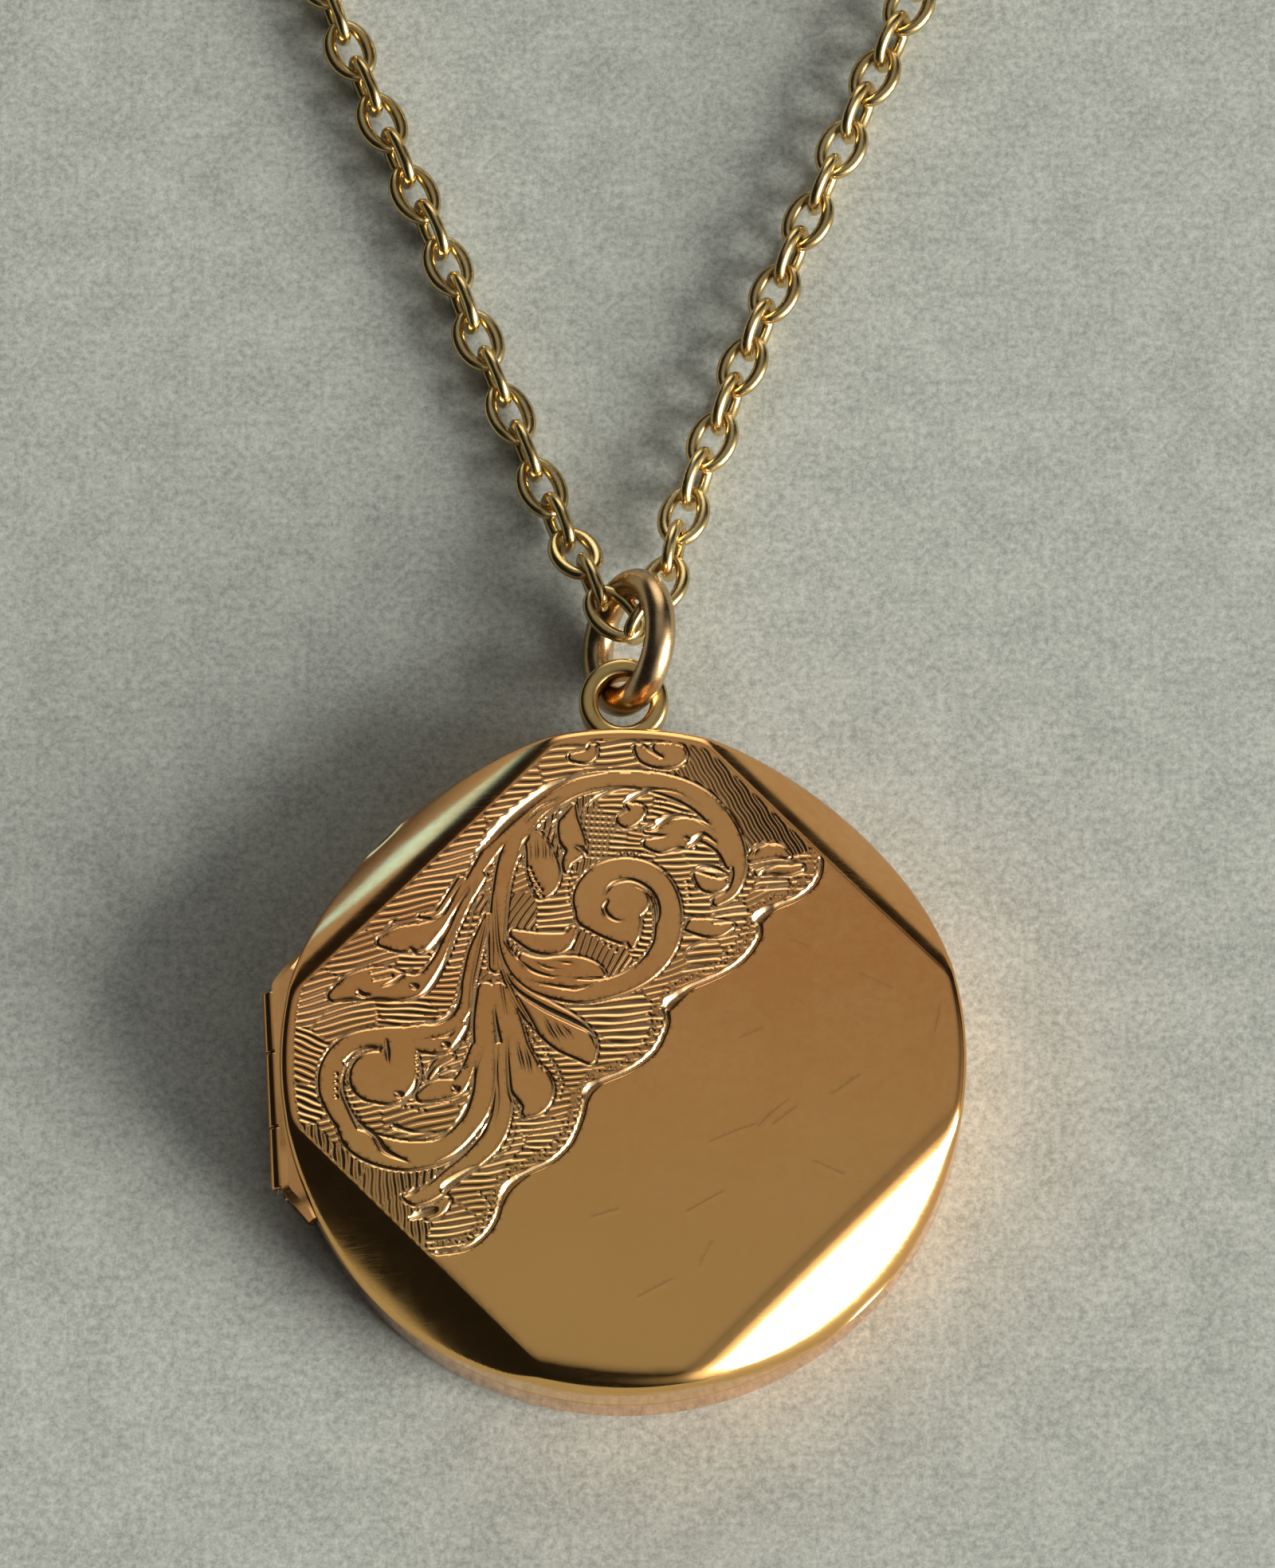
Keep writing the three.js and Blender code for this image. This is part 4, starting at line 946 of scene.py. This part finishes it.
def engraved_field(depth, edge_loop):
    """The field's points, each one's share of full depth (the weight of the painted highlight tint), its
    triangles, and the points on its edge.
    """
    busy = depth > 0.002
    for shift in ((0, 2), (0, -2), (2, 0), (-2, 0)):
        busy |= np.roll(depth > 0.002, shift, (0, 1))
    busy = busy.astype(float)

    def room(x, y):
        return field_edge(np.arctan2(y, x), FIELD_MARGIN) - np.hypot(x, y)

    fx, fy = lattice(FINE_STEP, (-13.2, -10.4), (12.9, 13.3))
    fine = (room(fx, fy) > 0.05) & (sampled(busy, fx, fy) > 0.5)
    cx, cy = lattice(COARSE_STEP, (-13.2, -13.2), (13.2, 13.2))
    coarse = (room(cx, cy) > 0.12) & (sampled(busy, cx, cy) < 0.5)
    px = np.concatenate([edge_loop[:, 0], fx[fine], cx[coarse]])
    py = np.concatenate([edge_loop[:, 1], fy[fine], cy[coarse]])
    loop = [(i, (i + 1) % AROUND) for i in range(AROUND)]
    flat = [Vector((a, b)) for a, b in zip(px, py)]
    corners, _, triangles, origin, _, _ = delaunay_2d_cdt(flat, loop, [list(range(AROUND))], 1, 1e-6)
    place = {ids[0]: k for k, ids in enumerate(origin) if ids}
    x, y = np.array([tuple(c) for c in corners]).T
    cut = sampled(depth, x, y) * np.clip(room(x, y) / 0.08, 0, 1)
    points = np.stack([x, y, top_height(x, y) - cut], 1)
    return points, np.clip(cut / PAINTED_GLINT_DEPTH, 0, 1), triangles, [place[j] for j in range(AROUND)]


def front_cover():
    """The engraved field, the bevels, the lip and wall, and the plain inside, as one skin."""
    angles = circle(AROUND)
    bottom = SEAM + SEAM_GAP / 2
    rim = rim_rows(angles, 30, 0.0, FIELD_MARGIN, bottom + 0.03)
    inner = rim_rows(angles[::3], 9, SHEET, 0.4, bottom)[::-1]
    field, painted_glint_share, triangles, upper = engraved_field(engraved_depth(), rim[0, :, :2])
    faces = [tuple(t) for t in triangles]
    count = len(field)
    for i in range(len(rim) - 1):
        lower = [count + i * AROUND + j for j in range(AROUND)]
        for j in range(AROUND):
            k = (j + 1) % AROUND
            faces.append((upper[j], lower[j], lower[k], upper[k]))
        upper = lower
    base = count + (len(rim) - 1) * AROUND
    few = AROUND // 3
    end = base + (len(inner) - 1) * few
    for j in range(few):
        k = (j + 1) % few
        a, b, c, d = (upper[(3 * j + n) % AROUND] for n in range(4))
        faces.append((a, base + j, base + k, d, c, b))
        for here in range(base, end, few):
            faces.append((here + j, here + few + j, here + few + k, here + k))
        faces.append((end + k, end + j, end + few))
    middle = np.array([[0, 0, inner[-1][:, 2].mean() + DOME]])
    cloud = np.concatenate([field, *rim[1:], *inner, middle])
    piece = add_mesh("engraved_front_cover", cloud, faces, front_gold, "front_case", "front_cover")
    # The cuts' share of full depth, which weights their painted highlight tint.
    level = piece.data.attributes.new("cut_depth", "FLOAT", "POINT")
    level.data.foreach_set("value", np.append(painted_glint_share, np.zeros(len(cloud) - count)))
    crease(piece, 60)


front_cover()

# ---- the back cover and the inside -----------------------------------------------------------------

CARD_RADIUS = 10.78
CARD = rectangle(0, CARD_RADIUS, 0.05, 0.25)
GLASS = [(0, 0.3), (CARD_RADIUS, 0.3), (CARD_RADIUS, 0.55)]
GLASS += [(r, 0.55 + 0.25 * (1 - (r / 10.0) ** 2)) for r in (10, 8.8, 7.5, 6, 4.5, 3, 1.5)] + [(0, 0.8)]
PHOTO_RING = [
    (10.0, 0.6), (10.85, 0.6), (10.85, 1.15), (10.6, 1.15), (10.35, 1.13), (10.15, 0.95), (10.02, 0.75)
]  # fmt: skip


def arc(centre_r, centre_z, radius, start, stop, steps):
    a = np.radians(np.linspace(start, stop, steps))
    return [(centre_r + radius * math.cos(t), centre_z + radius * math.sin(t)) for t in a]


def back_cover():
    rim = SEAM - SEAM_GAP / 2
    edge = CASE_RADIUS - SHOULDER
    profile = [(0, 0.0), (4, 0.0), (8, 0.0), (edge - 0.4, 0.0)] + arc(edge, SHOULDER, SHOULDER, -90, 0, 12)
    profile += [(CASE_RADIUS, rim - 0.05), (CASE_RADIUS - 0.03, rim - 0.01), (CASE_RADIUS - 0.08, rim)]
    profile += [(CASE_RADIUS - SHEET, rim)] + arc(edge, SHOULDER, SHOULDER - SHEET, 0, -90, 4) + [(0, SHEET)]
    turned("plain_back_cover", profile, rose_gold, "back_case", "back_cover", 360, closed=False)


def insides():
    """The back bezel, and the keeper rings, crystals and blank cards of both halves."""
    low, top = SEAM - SEAM_GAP / 2 - 0.03, SEAM + LIP_RISE
    bezel = [(WELL_RADIUS, 0.65), (BEZEL_RADIUS, 0.65), (BEZEL_RADIUS, low), (LIP_OUT, low)]
    bezel += [(LIP_OUT, top), (LIP_IN, top), (LIP_IN, low), (WELL_RADIUS, low)]
    turned("back_bezel_ring", round_corners(bezel, 0.06), gilt, "back_case", "back_bezel")
    ring = round_corners(PHOTO_RING, 0.05, 2)
    for side, floor, way in (("back", WELL_INSET, 1), ("front", CASE_DEPTH - DOME - WELL_INSET, -1)):
        stack = (
            ("_blank_card", CARD, card_paper, "_card", False),
            ("_clear_crystal", GLASS, crystal, "_crystal", False),
            ("_photo_ring", ring, gilt, "_keeper_ring", True),
        )
        for name, profile, material, node, closed in stack:
            profile = [(r, floor + way * h) for r, h in profile][::way]
            turned(side + name, profile, material, side + "_case", side + node, closed=closed)


back_cover()
insides()

# ---- the hinge -------------------------------------------------------------------------------------

hinge_turn = Matrix.Rotation(HINGE_TURN, 3, "Z")


def knuckles():
    """Three short tubes with rounded ends, turned in line on the hinge's axis."""
    spans = (
        ("middle", -KNUCKLE_MIDDLE, KNUCKLE_MIDDLE, "front_case"),
        ("upper", KNUCKLE_SIDE, BARREL_END, "back_case"),
        ("lower", -BARREL_END, -KNUCKLE_SIDE, "back_case"),
    )
    for name, low, high, body in spans:
        profile = round_corners(rectangle(PIN_HOLE, BARREL, low, high), 0.07)
        points = rings(profile, 40)[:, [0, 2, 1]] * (1, 1, -1) + (-HINGE_REACH, 0, SEAM)
        points = placed(points, hinge_turn)
        faces = grid_faces(len(profile), 40, closed=True)
        add_mesh("knuckle_" + name, points, faces, rose_gold, body, "hinge_knuckle_" + name)


def wing_section(t, low, high, side):
    """A wing's outline at one angle: it follows the case inside, is straight outside and hugs the barrel."""
    inner = CASE_RADIUS + 0.02
    straight = (HINGE_REACH - 0.03) / math.cos(t)
    reach = straight
    if abs(CASE_RADIUS * math.sin(t)) >= BARREL_END:
        barrel_turn = math.asin(BARREL_END / CASE_RADIUS)
        past = (abs(t) - barrel_turn) / (WING_SPREAD - barrel_turn)
        reach += (inner + 0.32 - (HINGE_REACH - 0.03) / math.cos(WING_SPREAD)) * past
    reach = max(reach, inner + 0.08)
    height = (high - low) * (1 - 0.45 * max(0, (abs(t) / WING_SPREAD - 0.8) / 0.2) ** 2)
    base, top = (low, low + height) if side == "front" else (high - height, high)
    corner = min(0.3, (reach - inner) * 0.7)
    section = [(inner, base), (reach - corner, base), (reach, base + corner), (reach, top - corner)]
    section += [(reach - corner, top), (inner, top)]
    ring = []
    for r, z in section:
        x, y = -r * math.cos(t), r * math.sin(t)
        from_axis = x + HINGE_REACH
        if math.hypot(from_axis, z - SEAM) < BARREL + 0.04 and abs(y) < BARREL_END + 0.2:
            push = math.sqrt((BARREL + 0.04) ** 2 - min(abs(from_axis), 0.4) ** 2)
            z = SEAM + push if side == "front" else SEAM - push
        ring.append((x, y, z))
    return ring


def wings():
    """The two bearers beside the barrel, as tapered strips."""
    for side, (low, high) in WING_SPANS.items():
        name, body, node = "hinge_wing_" + side, side + "_case", "hinge_bearer_" + side
        sections = [wing_section(t, low, high, side) for t in np.linspace(-WING_SPREAD, WING_SPREAD, 61)]
        points = placed(np.concatenate(sections), hinge_turn)
        count = len(sections[0])
        faces = grid_faces(len(sections), count)
        faces += [tuple(range(count)), tuple(range(len(points) - 1, len(points) - count - 1, -1))]
        crease(add_mesh(name, points, faces, rose_gold, body, node))


knuckles()
wings()

# ---- the hanging loop and the bail ring ------------------------------------------------------------


def hanging_loop():
    """A thick flat ring whose foot follows the case wall."""
    profile = round_corners(rectangle(LOOP_HOLE, LOOP_REACH, -LOOP_HALF, LOOP_HALF), 0.3, 5)
    points = rings(profile, 120) + (0, LOOP_Y, SEAM)
    wall = CASE_RADIUS + 0.02
    r = np.hypot(points[:, 0], points[:, 1])
    points[:, :2] *= np.maximum(wall / r, 1)[:, None]
    faces = grid_faces(len(profile), 120, closed=True)
    add_mesh("thick_hanging_loop", points, faces, loop_gold, "back_case", "hanging_loop")


def bail_ring():
    points, faces = torus(BAIL_RADIUS, BAIL_WIRE, 140, 36)
    points = placed(points, Matrix.Rotation(-BAIL_LEAN, 3, "Y"), BAIL_CENTRE)
    add_mesh("thick_bail_ring", points, faces, bail_gold, "bail", "bail_ring")


hanging_loop()
bail_ring()

CARRIED_OVER = {"back_liner": gilt, "front_liner": gilt, "front_bezel": gilt, "hinge_pin": pin_metal}
for node, material in CARRIED_OVER.items():
    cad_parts[node].data.materials.clear()
    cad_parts[node].data.materials.append(material)

# ---- floor, light and surroundings -----------------------------------------------------------------


def pale_floor():
    s = Shader("pale_floor")
    fine = s.noise(3400, 6.0, roughness=0.75)
    grain = s.math("ADD", s.math("MULTIPLY", fine, 0.8), s.math("MULTIPLY", s.noise(450, 3.0), 0.2))
    s.tint(s.blend(s.ramp(grain, 0.38, 0.62), (0.25, 0.27, 0.24, 1), (0.47, 0.49, 0.445, 1)))
    s.rough(s.ramp(grain, 0.38, 0.62, 0.85, 1.0))
    s.bump(grain, 0.3, 0.00008)
    mesh = bpy.data.meshes.new("floor")
    mesh.from_pydata([(-1.5, -1.5, 0), (1.5, -1.5, 0), (1.5, 1.5, 0), (-1.5, 1.5, 0)], [], [(0, 1, 2, 3)])
    mesh.materials.append(s.material)
    floor = bpy.data.objects.new("floor", mesh)
    bpy.context.collection.objects.link(floor)


def area_light(name, place, turn, size, power, colour):
    """A rectangle of light that the camera doesn't see."""
    data = bpy.data.lights.new(name, "AREA")
    data.shape = "RECTANGLE"
    data.size, data.size_y = size
    data.energy = power
    data.color = colour
    lamp = bpy.data.objects.new(name, data)
    bpy.context.collection.objects.link(lamp)
    lamp.visible_camera = False
    lamp.location = place
    lamp.rotation_euler = turn.to_euler()
    return data


def window(azimuth, elevation, distance):
    """A soft box towards an azimuth from +X and an elevation, in degrees, aimed at the case."""
    a, e = math.radians(azimuth), math.radians(elevation)
    way = Vector((math.cos(a) * math.cos(e), math.sin(a) * math.cos(e), math.sin(e)))
    place = way * distance + Vector((0, 0, 0.003))
    area_light("window", place, (-way).to_track_quat("-Z", "Y"), (2.25, 2.27), 420.0, (1.0, 0.97, 0.93))


def cool_card():
    """A small cool light low beyond the hinge, that the upper left bevel mirrors."""
    place = Vector((-14.8, 17.8, 2.3)) * M
    turn = Vector((0.536, -0.818, 0.21)).to_track_quat("-Z", "Z")
    data = area_light("cool_card", place, turn, (0.026, 0.0034), 0.000019, (0.15, 0.55, 1.0))
    data.spread = math.radians(34)


def surroundings():
    """A dim room: black behind the camera and low on the left, lit overhead, beyond the top and beside."""
    world = bpy.data.worlds.new("studio")
    bpy.context.scene.world = world
    world.use_nodes = True
    tree = world.node_tree
    place = tree.nodes.new("ShaderNodeTexCoord").outputs["Generated"]
    background = tree.nodes["Background"]

    def towards(way, stops):
        """A colour that depends on how nearly a direction points one way."""
        dot = tree.nodes.new("ShaderNodeVectorMath")
        dot.operation = "DOT_PRODUCT"
        tree.links.new(place, dot.inputs[0])
        dot.inputs[1].default_value = Vector(way).normalized()
        ramp = tree.nodes.new("ShaderNodeValToRGB")
        tree.links.new(dot.outputs["Value"], ramp.inputs[0])
        points = ramp.color_ramp.elements
        while len(points) < len(stops):
            points.new(0.5)
        for point, (position, colour) in zip(points, stops.items()):
            point.position = position
            point.color = (*colour, 1)
        return ramp.outputs[0]

    black = (0.0, 0.0, 0.0)
    dim = {0.0: (0.012, 0.012, 0.012), 0.82: (0.015, 0.015, 0.015)}
    total = towards((0, 0.34, 0.94), {**dim, 0.95: (0.26, 0.255, 0.24), 1.0: (0.36, 0.35, 0.32)})
    beyond = towards((0.05, 0.92, 0.38), {0.0: black, 0.87: black, 1.0: (2.0, 1.95, 1.8)})
    glow = {0.84: (0.34, 0.33, 0.31), 1.0: (1.5, 1.45, 1.4)}
    beside = towards((0.74, -0.48, 0.47), {0.0: black, 0.6: black, **glow})
    for more in (beyond, beside):
        both = tree.nodes.new("ShaderNodeMix")
        both.data_type = "RGBA"
        both.blend_type = "ADD"
        both.inputs["Factor"].default_value = 1.0
        tree.links.new(total, both.inputs["A"])
        tree.links.new(more, both.inputs["B"])
        total = both.outputs["Result"]
    tree.links.new(total, background.inputs["Color"])
    background.inputs["Strength"].default_value = 1.0


pale_floor()
surroundings()
window(-25, 18, 4.0)
cool_card()
bpy.context.scene.view_settings.view_transform = "Standard"
